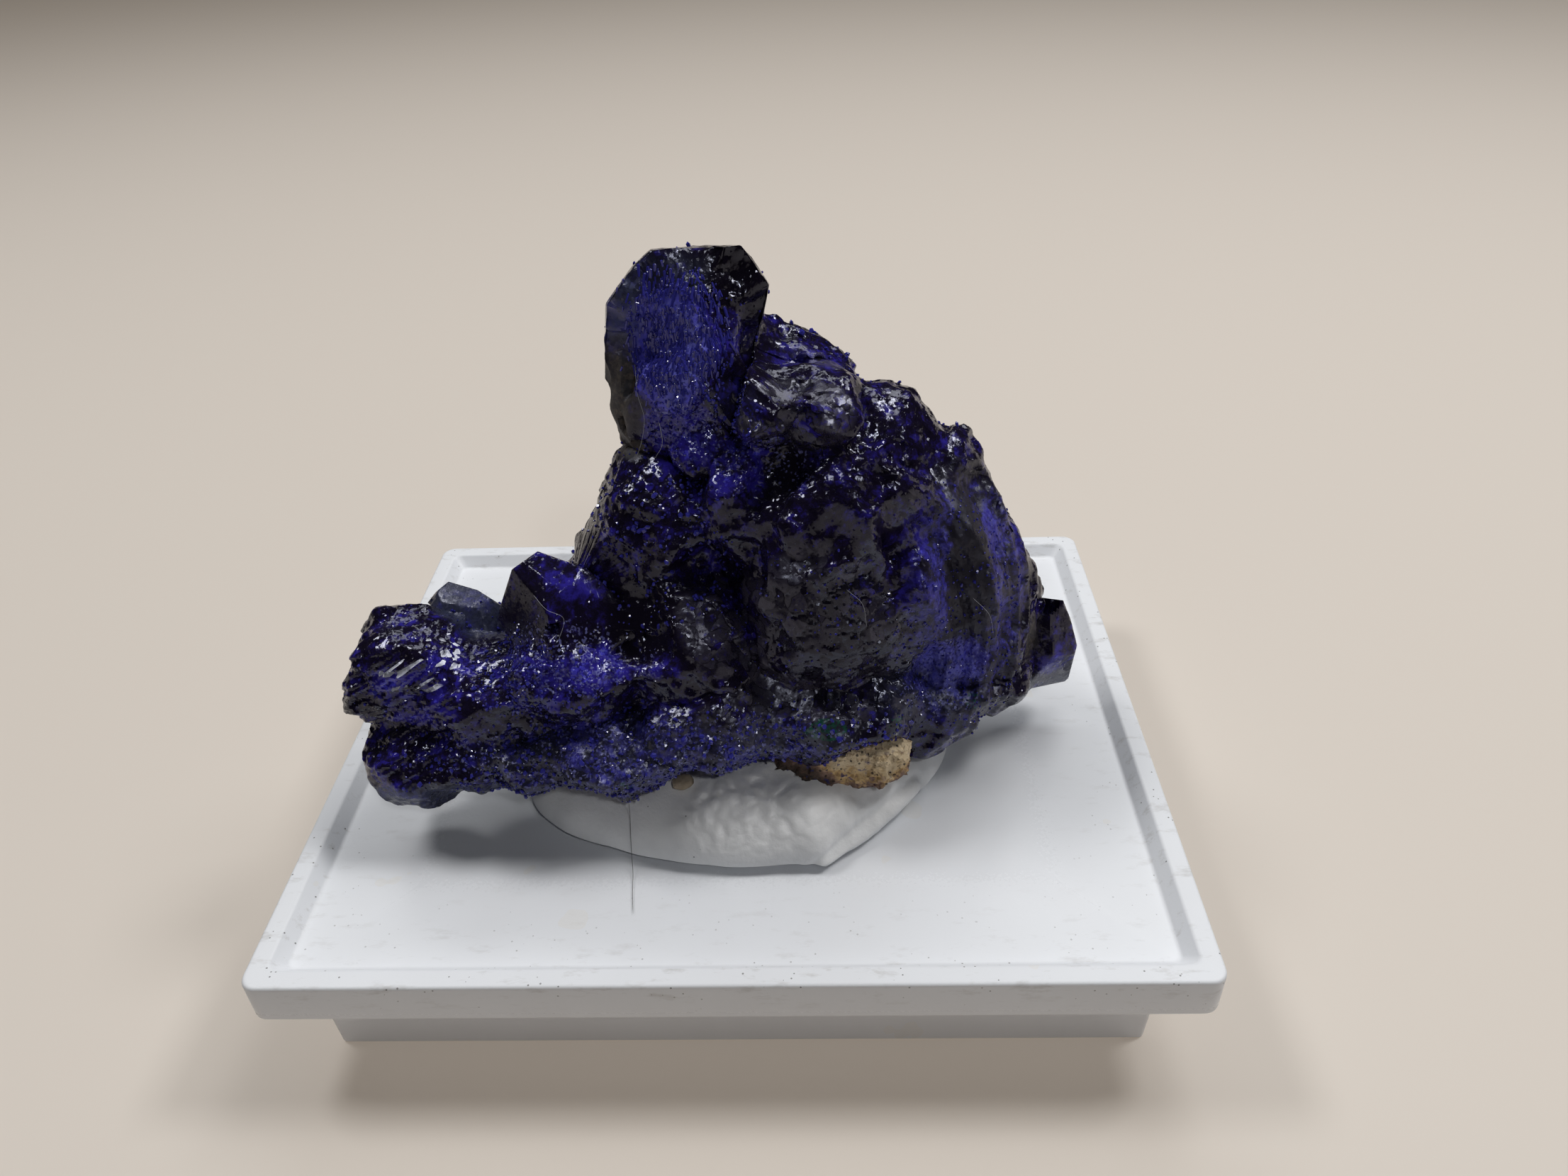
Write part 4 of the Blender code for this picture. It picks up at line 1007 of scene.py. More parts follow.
class Finish:
    """The node tree of one material, filled through one method."""

    def __init__(self, name):
        self.material = bpy.data.materials.new(name)
        self.material.use_nodes = True
        self.tree = self.material.node_tree
        self.tree.nodes.clear()
        place = self.node("ShaderNodeTexCoord", {}, {}, "Object")
        self.place = self.vector("SCALE", place, 1.0 / MM)

    def node(self, kind, settings, inputs, output=0):
        """Add a node: its settings first, then its sockets' values or links. Returns one output."""
        made = self.tree.nodes.new(kind)
        for name, value in settings.items():
            if name == "stops":
                ramp = made.color_ramp
                while len(ramp.elements) > 1:
                    ramp.elements.remove(ramp.elements[-1])
                ramp.elements[0].position = value[0][0]
                ramp.elements[0].color = (*value[0][1], 1.0)
                for position, colour in value[1:]:
                    ramp.elements.new(position).color = (*colour, 1.0)
            else:
                setattr(made, name, value)
        for name, value in inputs.items():
            if isinstance(value, Wire):
                self.tree.links.new(value.socket, made.inputs[name])
            elif hasattr(value, "__len__") and len(made.inputs[name].default_value) == 4:
                made.inputs[name].default_value = (*value[:3], 1.0)
            else:
                made.inputs[name].default_value = value
        return Wire(self, made.outputs[output]) if len(made.outputs) else None

    def vector(self, operation, first, second=None, output=0):
        """Add one Vector Math node. The second value of a SCALE is a number."""
        values = {0: first}
        if second is not None:
            values["Scale" if operation == "SCALE" else 1] = second
        return self.node("ShaderNodeVectorMath", {"operation": operation}, values, output)

    def mark(self, name):
        """A number stored on the mesh's vertices."""
        return self.node("ShaderNodeAttribute", {"attribute_name": name}, {}, "Fac")

    def stretched(self, scale):
        """Places in mm, stretched."""
        return self.node("ShaderNodeMapping", {}, {"Vector": self.place, "Scale": scale})

    def noise(self, scale, detail=2.0, roughness=0.5, place=None, distortion=0.0):
        """Cloudy noise, scale in waves to a mm."""
        values = {
            "Vector": place or self.place, "Scale": scale, "Detail": detail,
            "Roughness": roughness, "Distortion": distortion,
        }
        return self.node("ShaderNodeTexNoise", {}, values, "Fac")

    def cells(self, scale, output="Color", feature="F1", place=None):
        """Random cells, scale in cells to a mm."""
        values = {"Vector": place or self.place, "Scale": scale}
        return self.node("ShaderNodeTexVoronoi", {"feature": feature}, values, output)

    def warped(self, scale, amount):
        """Places in mm, pushed about by soft noise."""
        values = {"Vector": self.place, "Scale": scale, "Detail": 1.0}
        cloud = self.node("ShaderNodeTexNoise", {}, values, "Color")
        push = self.vector("SCALE", self.vector("SUBTRACT", cloud, (0.5, 0.5, 0.5)), amount)
        return self.vector("ADD", self.place, push)

    def channel(self, colour, number):
        """One channel of a colour."""
        return self.node("ShaderNodeSeparateColor", {}, {0: colour}, number)

    def mix(self, share, first, second):
        """Blend two colours."""
        return self.node("ShaderNodeMix", {"data_type": "RGBA"}, {0: share, 6: first, 7: second}, 2)

    def ramp(self, value, stops):
        """A colour for each value."""
        return self.node("ShaderNodeValToRGB", {"stops": stops}, {"Fac": value})

    def glints(self, normal, cells, amount):
        """Tilt the normal of every random cell its own way."""
        tilt = self.vector("SCALE", self.vector("SUBTRACT", cells, (0.5, 0.5, 0.5)), amount)
        return self.vector("NORMALIZE", self.vector("ADD", normal, tilt))

    def lifted(self, normal, amount, lean):
        """Lean the normal upward by an amount, and a little to the left or right where lean is not 0.5."""
        up = self.node("ShaderNodeCombineXYZ", {}, {"X": (lean - 0.5) * amount, "Z": amount})
        return self.vector("NORMALIZE", self.vector("ADD", normal, up))

    def drawn_out(self, way, factor):
        """Places in mm, squeezed along a way so that patterns there come out longer by the factor."""
        way = tuple(float(v) for v in way)
        along = self.vector("DOT_PRODUCT", self.place, way, "Value")
        push = self.vector("SCALE", way, along * (1.0 - 1.0 / factor))
        return self.vector("SUBTRACT", self.place, push)

    def bump(self, height, depth, strength):
        """Normal of a relief: height 0..1 stands for a depth in mm."""
        values = {"Height": height, "Distance": depth * MM, "Strength": strength}
        return self.node("ShaderNodeBump", {}, values)

    def done(self, **inputs):
        """Close the tree with a Principled shader and give the material back."""
        values = {name.replace("_", " "): value for name, value in inputs.items()}
        shader = self.node("ShaderNodeBsdfPrincipled", {}, values, "BSDF")
        self.node("ShaderNodeOutputMaterial", {}, {"Surface": shader})
        return self.material


def azurite_finish():
    """Azurite, in layers of colour that each lie over the ones before.

    Black to ultramarine by depth, powder blue where crushed, tiles of grey plate with dark seams,
    grey-blue film with a painted sheen in places, brown crust, malachite green, then painted
    highlights: pale blue glints and near-white streaks. The roughness and the tilt of the normal from
    one grain, speck, streak or tile to the next follow the same marks.
    """
    paint = colours()
    f = Finish("azurite")
    blue, grey, earth, plate, matte = (f.mark(n) for n in ("blue", "grey", "earth", "plate", "matte"))
    chip, crack, skin = f.mark("chip"), f.mark("crack"), f.mark("skin")
    grain_cells = f.cells(3.4)
    dust_cells = f.cells(8.5)
    grain, dust = f.channel(grain_cells, 0), f.channel(dust_cells, 1)
    cloud = f.noise(0.8, 4.0, 0.6, distortion=0.5)
    fine = f.noise(4.5, 4.0, 0.65)
    patch = f.noise(2.0, 4.0, 0.75)
    depth = blue + (cloud - 0.5) * 1.0 + (patch - 0.5) * 1.1 + (grain - 0.5) * 0.25 * skin
    depth = (depth + (chip - 0.5) * (0.7 - skin * 0.3) - crack * 0.5).clamped()
    body = f.ramp(depth, [
        (0.0, paint.deep), (0.32, (0.008, 0.0055, 0.02)), (0.46, (0.012, 0.008, 0.055)),
        (0.58, (0.017, 0.012, 0.14)), (0.74, (0.026, 0.019, 0.25)), (0.9, paint.blue),
        (1.0, (0.06, 0.055, 0.55)),
    ])
    glitter, streak = f.mark("glitter"), f.mark("streak")
    powdered = (matte * (fine + glitter * 0.1).between(0.44, 0.6) * depth.between(0.3, 0.7)).clamped()
    body = f.mix(powdered * 0.7, body, f.mix(glitter, paint.powder, (0.15, 0.16, 0.72)))
    tile_place = f.warped(1.1, 1.1)
    tiles = f.cells(0.95, place=tile_place)
    gap = f.cells(0.95, "Distance", "DISTANCE_TO_EDGE", tile_place)
    tone = f.channel(tiles, 0)
    tile_colour = f.mix(tone, (0.005, 0.004, 0.010), (0.040, 0.036, 0.056))
    tiled = (plate.between(0.3, 0.5) * (f.channel(tiles, 1) > 0.22)).clamped()
    body = f.mix((tiled * (1.0 - patch.between(0.5, 0.66)) * 0.9).clamped(), body, tile_colour)
    seam = tiled * (gap < 0.035)
    body = f.mix(seam * 0.85, body, paint.deep)
    # Grey-blue film: partly the crystal's own powdery film, partly a sheen of light painted along the
    # head's top edge and near the crest.
    grey_film_and_painted_sheen = (grey * (fine * 0.9 + grain * 0.4 * skin + 0.1)).clamped()
    body = f.mix(grey_film_and_painted_sheen * 0.85, body, (0.05, 0.06, 0.11))
    soil = f.ramp(fine + (grain - 0.5) * 0.25 * skin, [
        (0.3, (0.012, 0.011, 0.011)), (0.5, (0.034, 0.029, 0.026)), (0.72, (0.085, 0.07, 0.055)),
    ])
    body = f.mix((earth * cloud.between(0.2, 0.45)).clamped(), body, soil)
    crust = (f.mark("green") * (fine * 0.8 + patch * 0.5)).between(0.6, 0.68)
    body = f.mix(crust * 0.85, body, (0.008, 0.065, 0.04))
    streak_cells = f.cells(4.2, place=f.drawn_out(RISING, 12.0))
    standing = (f.channel(dust_cells, 2) > 1.0 - glitter * 0.15) * 1.7
    standing = standing + (f.channel(streak_cells, 0) > 1.0 - streak * 0.3) * 1.3
    # Painted glints: pale blue-white specks of highlight painted into the colour where fine crystals stand
    # up.
    painted_glint = (f.channel(dust_cells, 0) > 1.0 - glitter * 0.34) * f.channel(grain_cells, 1)
    body = f.mix(painted_glint * 0.75, body, (0.17, 0.18, 0.46))
    # Painted highlights: near-white streaks painted into the colour along the arm's rising striae.
    painted_streak_highlight = (f.channel(streak_cells, 0) > 1.0 - streak * 0.32) * cloud.between(0.4, 0.5)
    body = f.mix(painted_streak_highlight * 0.85, body, (0.85, 0.88, 1.0))
    dull = (matte * 0.4 + grey_film_and_painted_sheen * 0.3 + earth * 0.5 + tiled * 0.14).clamped()
    gloss = 0.07 + dull * (1 - (standing > 0.1) * 0.8) + fine * 0.1 + (dust - 0.5) * 0.04
    relief = f.bump(fine + dust * 0.15 * skin, 0.016, 0.5)
    lean = f.channel(grain_cells, 2) * (1 - streak) + streak * 0.2
    normal = f.lifted(relief, standing - f.mark("shade") * 0.5, lean)
    normal = f.glints(normal, grain_cells, skin * (1 - tiled) * 0.2 + 0.03)
    normal = f.glints(normal, dust_cells, (dust > 0.93) * 0.6 * skin + glitter * 0.15 + 0.05)
    normal = f.glints(normal, streak_cells, streak * 0.25)
    normal = f.glints(normal, tiles, tiled * 0.45)
    return f.done(
        Base_Color=body, Roughness=gloss.clamped(), Normal=normal, IOR=1.6,
        Specular_Tint=(0.58, 0.60, 0.74),
    )


def ring_lines(places, ring_pitch, ring_height, stripe_pitch, stripe_height):
    """Height of zigzag rings round the middle of the dome and of zigzag stripes along the arm."""
    ring = np.linalg.norm((places - RING_CENTRE) / RING_SHAPE, axis=1)
    rings = ring_height * zigzag(ring / ring_pitch) * inside(places, *RING_REGION)
    stripe = places @ STRIPE_WAY / stripe_pitch
    return rings + stripe_height * zigzag(stripe) * inside(places, *STRIPE_REGION)


def shaped_cluster(mesh):
    """Stand crystals on the fused lumps, lay rings and stripes, press hollows in and cut grooves.

    Then smooth it and press it onto the large crystals. Returns how clean each place is to stay.
    """
    places, normals = points_of(mesh)
    calm = inside(places, *CALM_FACE)
    rise = np.zeros(len(places))
    for size, height, seed in CRYSTALS:
        rise += (1.0 - CALM_LOSS * calm) * relief_of(places, size, height, seed)
    rise += ring_lines(places, *COARSE_LINES)
    for centre, radius, depth in HOLLOWS:
        distance = np.linalg.norm(places - np.array(centre), axis=1) / radius
        rise -= depth * np.exp(-distance * distance)
    for line, radius, depth in GROOVES:
        rise -= depth * np.maximum(0.0, 1.0 - 0.5 * distance_to_line(places, line) / radius)
    set_points(mesh, places + normals * rise[:, None])
    smooth(mesh, SMOOTHING)
    places, _normals = points_of(mesh)
    clean = np.zeros(len(places))
    for centre, reach, amount, cuts in CUT_CRYSTALS:
        places, share = pressed(places, centre, reach, cuts)
        clean = np.maximum(clean, amount * share)
    set_points(mesh, places)
    return clean


def faceted_cluster(mesh, clean):
    """Break the shaped surface into facets row by row, and lay the fine rings, stripes and cracks.

    The cleaner a place is, the less it is broken. The cleanest crystals are pressed flat again at the
    end. Returns a random number for the facet of each place, and how deep it lies in a crack.
    """
    chip = np.zeros(len(mesh.vertices))
    for row, (size, way, drawn, tilt, step, seed, spots) in enumerate(FACETS):
        places, normals = points_of(mesh)
        if spots is None:
            weight = 1.0 - np.clip(amount_in(places, CALM_PLACES), 0.0, 1.0)
        else:
            weight = np.clip(amount_in(places, spots), 0.0, 1.0)
        weight = weight * (1.0 - clean)
        moved, number, border = flattened(places, normals, size, way, drawn, tilt, step, seed, weight)
        set_points(mesh, moved)
        smooth(mesh, 1, 0.35)
        chip += (number - chip) * weight if row > 1 else 0.5 * number
        if row == 1:
            crack = np.clip(1.0 - border / CRACK_WIDTH, 0.0, 1.0)
            crack = crack * np.maximum(inside(places, *CALM_FACE), CRACKS_ELSEWHERE)
    places, normals = points_of(mesh)
    rise = ring_lines(places, *FINE_LINES) - CRACK_DEPTH * crack
    places = places + normals * rise[:, None]
    for centre, reach, amount, cuts in CUT_CRYSTALS:
        if amount > LEAST_CLEAN:
            flat, _share = pressed(places, centre, FINAL_REACH * reach, cuts)
            places = places + (flat - places) * min(1.0, amount * FINAL_SHARE)
    set_points(mesh, under_top(places))
    return chip, crack


def under_top(places):
    """Places kept below the top of the solid cluster."""
    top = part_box("azurite_cluster")[1].z / MM
    return np.column_stack([places[:, :2], np.minimum(places[:, 2], top - TOP_MARGIN)])


def mark_cluster(mesh, places, chip, crack, skin):
    """Store the numbers that the azurite finish reads, from the patches round each of the places."""
    powdery = np.max([inside(places, *face) for face in VELVET_FACES], axis=0)
    marks = {
        "blue": BLUE_GROUND + amount_in(places, BLUE_PATCHES),
        **{name: np.clip(amount_in(places, rows), 0.0, 1.0) for name, rows in PATCHES.items()},
        "streak": inside(places, *ARM_STREAKS),
        "shade": inside(places, *DULL_SHOULDER),
        "matte": np.maximum(powdery, MARGIN_POWDER * inside(places, *VELVET_MARGIN)),
        "chip": chip,
        "crack": crack,
        "skin": np.zeros(len(places)) + skin,
    }
    for name, values in marks.items():
        set_mark(mesh, name, values)


CLUSTER_PIECES = ["tower", "dome", "flank", "arm", "foot", "point"]


class SPECIMEN_OT_azurite(bpy.types.Operator):
    """Build the azurite cluster from its lumps, as closed skins that run into each other"""

    bl_idname = "specimen.azurite"
    bl_label = "Azurite cluster"

    def execute(self, context):
        finish = azurite_finish()
        for part in CLUSTER_PIECES:
            lumps = [(n, *row[1:]) for n, row in enumerate(LUMPS) if row[0] == part]
            mesh = fused(lumps_mesh("azurite_" + part, lumps), sizes().voxel)
            clean = shaped_cluster(mesh)
            chip, crack = faceted_cluster(mesh, clean)
            mark_cluster(mesh, points_of(mesh)[0], chip, crack, 1.0 - 0.8 * clean)
            put("azurite_" + part, mesh, finish, ["azurite_cluster"], SHARP["cluster"])
        return {"FINISHED"}


class SPECIMEN_OT_crystals(bpy.types.Operator):
    """Stand crops of small crystals on the cluster's skins"""

    bl_idname = "specimen.crystals"
    bl_label = "Small crystals"

    def execute(self, context):
        finish = bpy.data.materials["azurite"]
        skins = []
        for part in CLUSTER_PIECES:
            places, normals = points_of(bpy.data.objects["azurite_" + part].data)
            shown = ~in_lumps(places, [row for row in LUMPS if row[0] != part])
            skins.append((places[shown], normals[shown]))
        skin = tuple(np.concatenate(both) for both in zip(*skins))
        for number, crop in enumerate(CROPS):
            centres, axes, halves = stood_on(skin, crop)
            name = "crystals_%s_%02d" % (crop[0], number)
            mesh, corners = crystal_mesh(name, crop[1], centres, axes, halves, crop[-1])
            set_points(mesh, under_top(points_of(mesh)[0]))
            chip = np.random.default_rng(crop[-1] + 500).random(len(centres))
            crack = np.zeros(len(chip) * corners)
            mark_cluster(mesh, np.repeat(centres, corners, axis=0), np.repeat(chip, corners), crack, 0.0)
            put(name, mesh, finish, sharp=SHARP["crystals"])
        return {"FINISHED"}


def rock_finish():
    """Matrix rock: cream and ochre at the right, brown and dark at the left, with blue specks."""
    paint = colours()
    f = Finish("matrix rock")
    cloud = f.noise(0.7, 4.0, 0.6, distortion=0.6)
    fine = f.noise(4.0, 4.0, 0.65)
    spots = f.cells(2.4, "Distance")
    across = f.node("ShaderNodeSeparateXYZ", {}, {0: f.place}, 0)
    high = f.node("ShaderNodeSeparateXYZ", {}, {0: f.place}, 2)
    pale = across.between(4.4, 6.2) * 0.5 + high.between(11.2, 12.6) * 0.45 + (cloud - 0.5) * 1.1
    body = f.ramp(pale, [
        (0.1, (0.028, 0.018, 0.014)), (0.35, (0.09, 0.055, 0.042)), (0.5, (0.24, 0.15, 0.11)),
        (0.62, paint.ochre), (0.85, (0.62, 0.50, 0.33)),
    ])
    body = f.mix(fine.between(0.52, 0.66) * 0.7, body, (0.16, 0.085, 0.045))
    body = f.mix((spots < 0.2) * 0.85, body, (0.018, 0.014, 0.013))
    blue = (f.noise(2.2, 2.0) > 0.62) * (1 - across.between(7.0, 8.0) * 0.6)
    body = f.mix(blue * 0.7, body, (0.025, 0.025, 0.15))
    normal = f.bump(fine + cloud * 0.5, 0.12, 0.8)
    return f.done(Base_Color=body, Roughness=0.75, Normal=normal, IOR=1.5)


class SPECIMEN_OT_rock(bpy.types.Operator):
    """Build the scrap of matrix rock under the front of the dome"""

    bl_idname = "specimen.rock"
    bl_label = "Matrix rock"

    def execute(self, context):
        lumps = [(ROCK_SEED + n, *row) for n, row in enumerate(ROCK_LUMPS)]
        mesh = fused(lumps_mesh("matrix_rock_scrap", lumps), ROCK_VOXEL * MM)
        places, normals = points_of(mesh)
        set_points(mesh, places + normals * relief_of(places, *ROCK_CRYSTALS)[:, None])
        for size, tilt, step, seed in ROCK_FACETS:
            places, normals = points_of(mesh)
            places, _chip, _border = flattened(places, normals, size, None, 1.0, tilt, step, seed, 1.0)
            set_points(mesh, places)
        put("matrix_rock_scrap", mesh, rock_finish(), ["matrix_rock"], SHARP["stones"])
        return {"FINISHED"}


class SPECIMEN_OT_traces(bpy.types.Operator):
    """Lay the hair on the putty, the fibres on the crystals and the tan pebble under them"""

    bl_idname = "specimen.traces"
    bl_label = "Hair, fibres, pebble"

    def execute(self, context):
        for name, lines, radius, colour, slot in (
            ("hair", [HAIR], sizes().hair_radius, (0.05, 0.045, 0.04), "putty"),
            ("fibres", FIBRES, sizes().fibre_radius, (0.3, 0.31, 0.36), "azurite"),
        ):
            finish = Finish(name).done(Base_Color=(*colour, 1.0), Roughness=0.5, IOR=1.5)
            put(name, threads_mesh(name, lines, radius / MM), finish)
        mesh = fused(lumps_mesh("pebble", [PEBBLE]), PEBBLE_VOXEL * MM)
        finish = Finish("pebble")
        tone = finish.mix(finish.noise(3.0, 3.0), (0.16, 0.12, 0.08), (0.42, 0.35, 0.26))
        finish = finish.done(Base_Color=tone, Roughness=0.7, IOR=1.5)
        put("pebble", mesh, finish, sharp=SHARP["stones"])
        return {"FINISHED"}


def putty_finish():
    """Putty: off-white, faintly mottled, satin on its creases, with a few dark specks."""
    paint = colours()
    f = Finish("putty")
    cloud = f.noise(0.35, 3.0)
    fine = f.noise(3.0, 4.0, 0.6)
    specks = f.cells(1.1, "Distance")
    speck = (specks < 0.045) * (f.noise(0.9, 1.0) > 0.52)
    body = f.mix(cloud.between(0.35, 0.7) * 0.5, paint.putty, (0.58, 0.585, 0.60))
    body = f.mix(speck * 0.85, body, (0.05, 0.05, 0.06))
    shiny = f.mark("crease")
    gloss = 0.52 - shiny * 0.24 + fine * 0.12
    normal = f.bump(fine + cloud, 0.06, 0.6)
    return f.done(Base_Color=body, Roughness=gloss, Normal=normal, IOR=1.47)


class SPECIMEN_OT_putty(bpy.types.Operator):
    """Build the pressed pat of putty, creased in the middle of its front"""

    bl_idname = "specimen.putty"
    bl_label = "Mounting putty"

    def execute(self, context):
        put("putty_pat", putty_mesh(), putty_finish(), ["mounting_putty"])
        return {"FINISHED"}


def putty_mesh():
    """The pat as one surface of two parameters, the angle around and a turn t on the way up.

    At each angle the rim's reach is read from the table and smoothed. The turn t runs from -0.28 pi
    under the rim to 0.5 pi at the crown. The reach is multiplied by cos t, and by its power 0.62 where
    t > 0. The height climbs by (1 + sin t / 0.77) of the foot's while t < 0, and by sin t to the power
    1.15 above it. Relief follows along the normals: broad dents, then creases of sine waves that follow
    warped lines and of crystal-like folds, then the lip, exp(-(d / 0.35)^2) at a distance d from its
    line, with a furrow beside it.
    """
    rows, columns = PUTTY_GRID
    around = np.linspace(-180.0, 180.0, columns, endpoint=False)
    angles, reaches = np.array(PUTTY_RIM, dtype=float).T
    reach = np.interp(around, angles, reaches, period=360.0)
    for _pass in range(10):
        reach = (np.roll(reach, 1) + 2.0 * reach + np.roll(reach, -1)) / 4.0
    turn = np.linspace(-0.28, 0.5, rows)[:, None] * math.pi
    out = np.cos(turn) ** np.where(turn < 0.0, 1.0, 0.62)
    bottom = FLOOR_TOP + 0.02
    crown = PUTTY_FOOT + (PUTTY_HEIGHT - PUTTY_FOOT) * np.abs(np.sin(turn)) ** 1.15
    height = bottom + np.where(turn < 0.0, PUTTY_FOOT * (1.0 + np.sin(turn) / 0.77), crown)
    radians = np.radians(around)[None, :]
    x = PUTTY_CENTRE[0] + reach * out * np.cos(radians)
    y = PUTTY_CENTRE[1] + reach * out * np.sin(radians)
    places = np.stack([x, y, height + 0.0 * radians], axis=-1).reshape(-1, 3)
    top, base = len(places), len(places) + 1
    places = np.concatenate([places, [(*PUTTY_CENTRE, bottom + PUTTY_HEIGHT), (*PUTTY_CENTRE, bottom)]])
    mesh = make_mesh("putty_pat", places, *grid_faces(rows, columns, base, top, outward=True))
    places, normals = points_of(mesh)
    x, y, z = places.T
    warp = 1.1 * np.sin(0.8 * x + 1.3) + 0.8 * np.sin(1.4 * y + 1.1 * x)
    crease = np.sin(2.3 * y + 2.0 * x + 2.4 * warp) * 0.4 + np.sin(4.1 * x - 2.6 * y + 1.9 * warp) * 0.3
    for row in CREASE_FOLDS:
        crease += relief_of(places, *row)
    front = np.max([amount * inside(places, *place) for *place, amount in CREASE_PLACES], axis=0)
    fold = distance_to_line(places, FOLDED_LIP)
    above = np.clip((z - bottom - 0.2) / 0.6, 0.0, 1.0)
    dents = relief_of(places, *PUTTY_DENTS)
    rise = (dents + sizes().putty_creases / MM * (np.abs(crease) - 0.3) * front * 1.6) * above
    rise += 0.3 * np.exp(-(fold / 0.35) ** 2) - 0.16 * np.exp(-((fold - 0.75) / 0.3) ** 2) * above
    set_points(mesh, places + normals * rise[:, None])
    set_mark(mesh, "crease", front)
    return mesh


def plastic_finish():
    """White moulded plastic: faint moulding texture, dark scuffs and specks along the lip."""
    paint = colours()
    f = Finish("white plastic")
    cloud = f.noise(0.12, 3.0)
    fine = f.noise(6.0, 3.0)
    lip = f.mark("lip")
    specks = f.cells(2.1, "Distance")
    dirt = (specks < 0.11) * (f.noise(0.5, 2.0) > 0.52)
    scuffs = f.noise(1.2, 4.0, 0.7, place=f.stretched((0.35, 1.0, 1.0)))
    body = f.mix(cloud.between(0.35, 0.7) * 0.35, paint.plastic, (0.71, 0.72, 0.75))
    body = f.mix((dirt * lip * 0.75).clamped(), body, (0.10, 0.095, 0.09))
    body = f.mix((scuffs.between(0.56, 0.74) * lip * 0.5).clamped(), body, (0.38, 0.36, 0.34))
    stain = f.noise(0.35, 2.0) > 0.7
    body = f.mix(stain * 0.10, body, (0.72, 0.6, 0.36))
    gloss = 0.2 + fine * 0.08 + lip * 0.25
    normal = f.bump(fine + cloud, 0.012, 0.35)
    return f.done(Base_Color=body, Roughness=gloss, Normal=normal, IOR=1.5)


def rounded_ring(half_x, half_y, radius):
    """A rectangle with round corners as a closed ring of points, each side cut into even stretches."""
    arcs = []
    for corner, (sign_x, sign_y) in enumerate(((1, 1), (-1, 1), (-1, -1), (1, -1))):
        angle = np.radians(90.0 * corner + np.linspace(0.0, 90.0, CORNER_STEPS))
        arcs.append(np.stack([
            sign_x * (half_x - radius) + radius * np.cos(angle),
            sign_y * (half_y - radius) + radius * np.sin(angle),
        ], axis=1))
    share = np.linspace(0.0, 1.0, SIDE_STEPS)[1:-1, None]
    sides = [arc[-1] + (after[0] - arc[-1]) * share for arc, after in zip(arcs, arcs[1:] + arcs[:1])]
    return np.concatenate([part for both in zip(arcs, sides) for part in both])


def base_profile():
    """Inset and height along the base's section, from the middle of the tray round to the inside.

    Each corner is given as (inset, height, softening). It is cut back by the softening on both sides
    and bridged by the curve (1 - s)^2 start + 2 s (1 - s) corner + s^2 end.
    """
    step_z = BASE_HEIGHT - FLANGE_HEIGHT
    foot = PLINTH_INSET + PLINTH_DRAFT
    under = FLOOR_TOP - WALL
    corners = [
        (TRAY_MIDDLE, FLOOR_TOP, 0.0), (LIP_WIDTH + LIP_SLOPE, FLOOR_TOP, 0.16),
        (LIP_WIDTH, BASE_HEIGHT, 0.14), (0.0, BASE_HEIGHT, 0.22), (0.0, step_z, 0.16),
        (PLINTH_INSET, step_z, 0.1), (foot, 0.0, 0.16), (foot + WALL, 0.0, 0.16),
        (PLINTH_INSET + WALL, under, 0.3), (TRAY_MIDDLE, under, 0.0),
    ]
    path = [np.array([corners[0][:2]])]
    for before, here, after in zip(corners, corners[1:], corners[2:]):
        middle = np.array(here[:2])
        start = middle + here[2] * unit(np.array(before[:2]) - middle)
        end = middle + here[2] * unit(np.array(after[:2]) - middle)
        share = np.linspace(0.0, 1.0, 6)[:, None]
        path.append((1 - share) ** 2 * start + 2 * share * (1 - share) * middle + share**2 * end)
    path.append(np.array([corners[-1][:2]]))
    return np.concatenate(path)


class SPECIMEN_OT_base(bpy.types.Operator):
    """Build the box base: a section with softened corners carried round a rounded rectangle"""

    bl_idname = "specimen.base"
    bl_label = "Box base"

    def execute(self, context):
        rings = []
        for inset, height in base_profile():
            radius = max(LEAST_RADIUS, CORNER_RADIUS - 0.25 * inset)
            ring = rounded_ring(BASE_WIDTH / 2 - inset, BASE_DEPTH / 2 - inset, radius)
            rings.append(np.column_stack([ring, np.full(len(ring), height)]))
        count = len(rings) * len(rings[0])
        points = np.concatenate([*rings, [(0, 0, FLOOR_TOP), (0, 0, FLOOR_TOP - WALL)]])
        faces = grid_faces(len(rings), len(rings[0]), count, count + 1)
        mesh = make_mesh("base_moulding", points, *faces)
        places, _normals = points_of(mesh)
        edge = np.minimum(BASE_WIDTH / 2 - np.abs(places[:, 0]), BASE_DEPTH / 2 - np.abs(places[:, 1]))
        lip = np.clip((SCUFFED_EDGE - edge) / 0.4, 0.0, 1.0) * (places[:, 2] > FLOOR_TOP - 0.3)
        set_mark(mesh, "lip", lip)
        put("base_moulding", mesh, plastic_finish(), ["box_base"], SHARP["base"])
        return {"FINISHED"}


def floor_finish():
    """Plain pale floor whose faint glow is painted light, lifting the table and warming the base."""
    return Finish("pale floor").done(
        Base_Color=(*colours().floor, 1.0), Roughness=0.6, IOR=1.45,
        # Painted light: the floor's glow brightens the table, its shaded parts too, and throws warm light
        # onto the base.
        Emission_Color=(0.15, 0.125, 0.10, 1.0), Emission_Strength=1.0,
    )


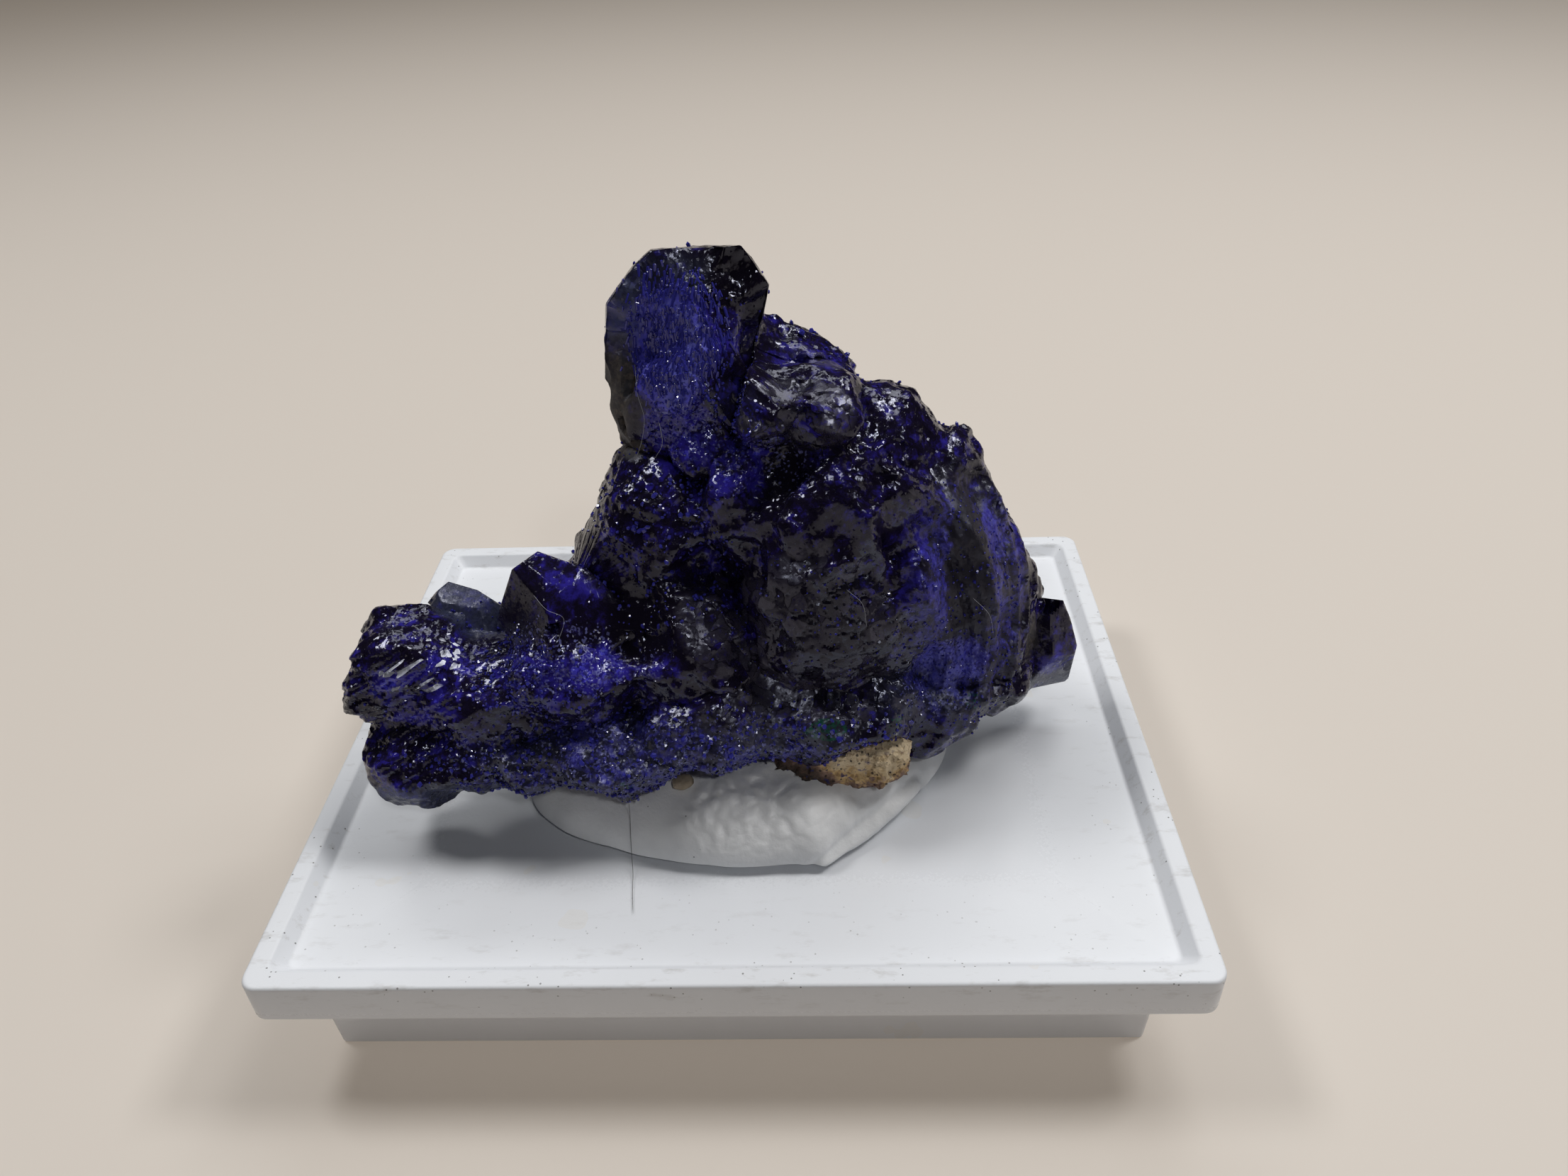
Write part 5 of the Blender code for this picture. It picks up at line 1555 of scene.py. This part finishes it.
# Soft boxes: (name, degrees to the right of straight behind, degrees up, distance, width, height,
# brightness of the face, colour), measures in mm.
SOFT_BOXES = [
    ("left box", -70.0, 56.0, 400.0, 110.0, 80.0, 19.0, (1.0, 0.99, 0.97)),
    ("right box", 75.0, 52.0, 400.0, 90.0, 85.0, 24.0, (1.0, 0.99, 0.97)),
    ("right rear box", 42.0, 64.0, 400.0, 160.0, 150.0, 5.0, (1.0, 0.99, 0.97)),
    ("rear strip", 0.0, 51.0, 420.0, 420.0, 60.0, 4.0, (0.97, 0.99, 1.0)),
    ("front lamp", 155.0, 46.0, 400.0, 26.0, 26.0, 84.0, (0.98, 0.99, 1.0)),
]


def soft_box(name, turn, rise, distance, width, height, brightness, colour):
    """A rectangular light that faces the specimen from a direction given in degrees."""
    lamp = bpy.data.lights.new(name, "AREA")
    lamp.shape = "RECTANGLE"
    lamp.size = width * MM
    lamp.size_y = height * MM
    lamp.energy = brightness * math.pi * width * height * MM * MM
    lamp.color = colour
    made = bpy.data.objects.new(name, lamp)
    bpy.context.scene.collection.objects.link(made)
    turn, rise = math.radians(turn), math.radians(rise)
    way = Vector((math.sin(turn) * math.cos(rise), math.cos(turn) * math.cos(rise), math.sin(rise)))
    made.location = (Vector(LIT_POINT) + way * distance) * MM
    made.rotation_euler = (-way).to_track_quat("-Z", "Y").to_euler()


class SPECIMEN_OT_stage(bpy.types.Operator):
    """Set up the plain pale floor, the soft lights and the camera"""

    bl_idname = "specimen.stage"
    bl_label = "Stage"

    def execute(self, context):
        scene = bpy.context.scene
        corners = np.array([(-1, -1, 0), (1, -1, 0), (1, 1, 0), (-1, 1, 0)]) * FLOOR_REACH
        mesh = make_mesh("floor", corners, [(0, 1, 2, 3)])
        mesh.materials.append(floor_finish())
        floor = bpy.data.objects.new("floor", mesh)
        scene.collection.objects.link(floor)
        for row in SOFT_BOXES:
            soft_box(*row)
        world = bpy.data.worlds.new("dim room")
        world.use_nodes = True
        light = world.node_tree.nodes["Background"].inputs
        light["Color"].default_value = ROOM_COLOUR
        light["Strength"].default_value = ROOM_LIGHT
        scene.world = world
        scene.view_settings.view_transform = "Standard"
        lens = bpy.data.cameras.new("camera")
        lens.lens = CAMERA_LENS
        lens.sensor_width = 36.0
        lens.clip_start = 0.001
        lens.clip_end = 10.0
        camera = bpy.data.objects.new("camera", lens)
        scene.collection.objects.link(camera)
        ways = Matrix([CAMERA_RIGHT, [-v for v in CAMERA_DOWN], [-v for v in CAMERA_FORWARD]]).transposed()
        camera.matrix_world = Matrix.Translation(Vector(CAMERA_PLACE) * MM) @ ways.to_4x4()
        scene.camera = camera
        return {"FINISHED"}


STEPS = [
    SPECIMEN_OT_azurite, SPECIMEN_OT_crystals, SPECIMEN_OT_rock, SPECIMEN_OT_putty,
    SPECIMEN_OT_traces, SPECIMEN_OT_base, SPECIMEN_OT_stage,
]


class SPECIMEN_PT_panel(bpy.types.Panel):
    """The specimen's pieces, one button each"""

    bl_label = "Azurite specimen"
    bl_space_type = "VIEW_3D"
    bl_region_type = "UI"
    bl_category = "Specimen"

    def draw(self, context):
        for step in STEPS:
            self.layout.operator(step.bl_idname)
        for group in (context.scene.specimen_sizes, context.scene.specimen_colours):
            for name in group.bl_rna.properties.keys():
                if name not in ("rna_type", "name"):
                    self.layout.prop(group, name)


CLASSES = [SpecimenSizes, SpecimenColours, *STEPS, SPECIMEN_PT_panel]


def register():
    """Make the classes and the settings known to Blender."""
    for made in CLASSES:
        bpy.utils.register_class(made)
    bpy.types.Scene.specimen_sizes = PointerProperty(type=SpecimenSizes)
    bpy.types.Scene.specimen_colours = PointerProperty(type=SpecimenColours)


def unregister():
    """Take the classes and the settings away again."""
    del bpy.types.Scene.specimen_colours
    del bpy.types.Scene.specimen_sizes
    for made in reversed(CLASSES):
        bpy.utils.unregister_class(made)


def main():
    """Build everything in order."""
    register()
    for step in STEPS:
        group, name = step.bl_idname.split(".")
        getattr(getattr(bpy.ops, group), name)()


if __name__ == "__main__":
    main()
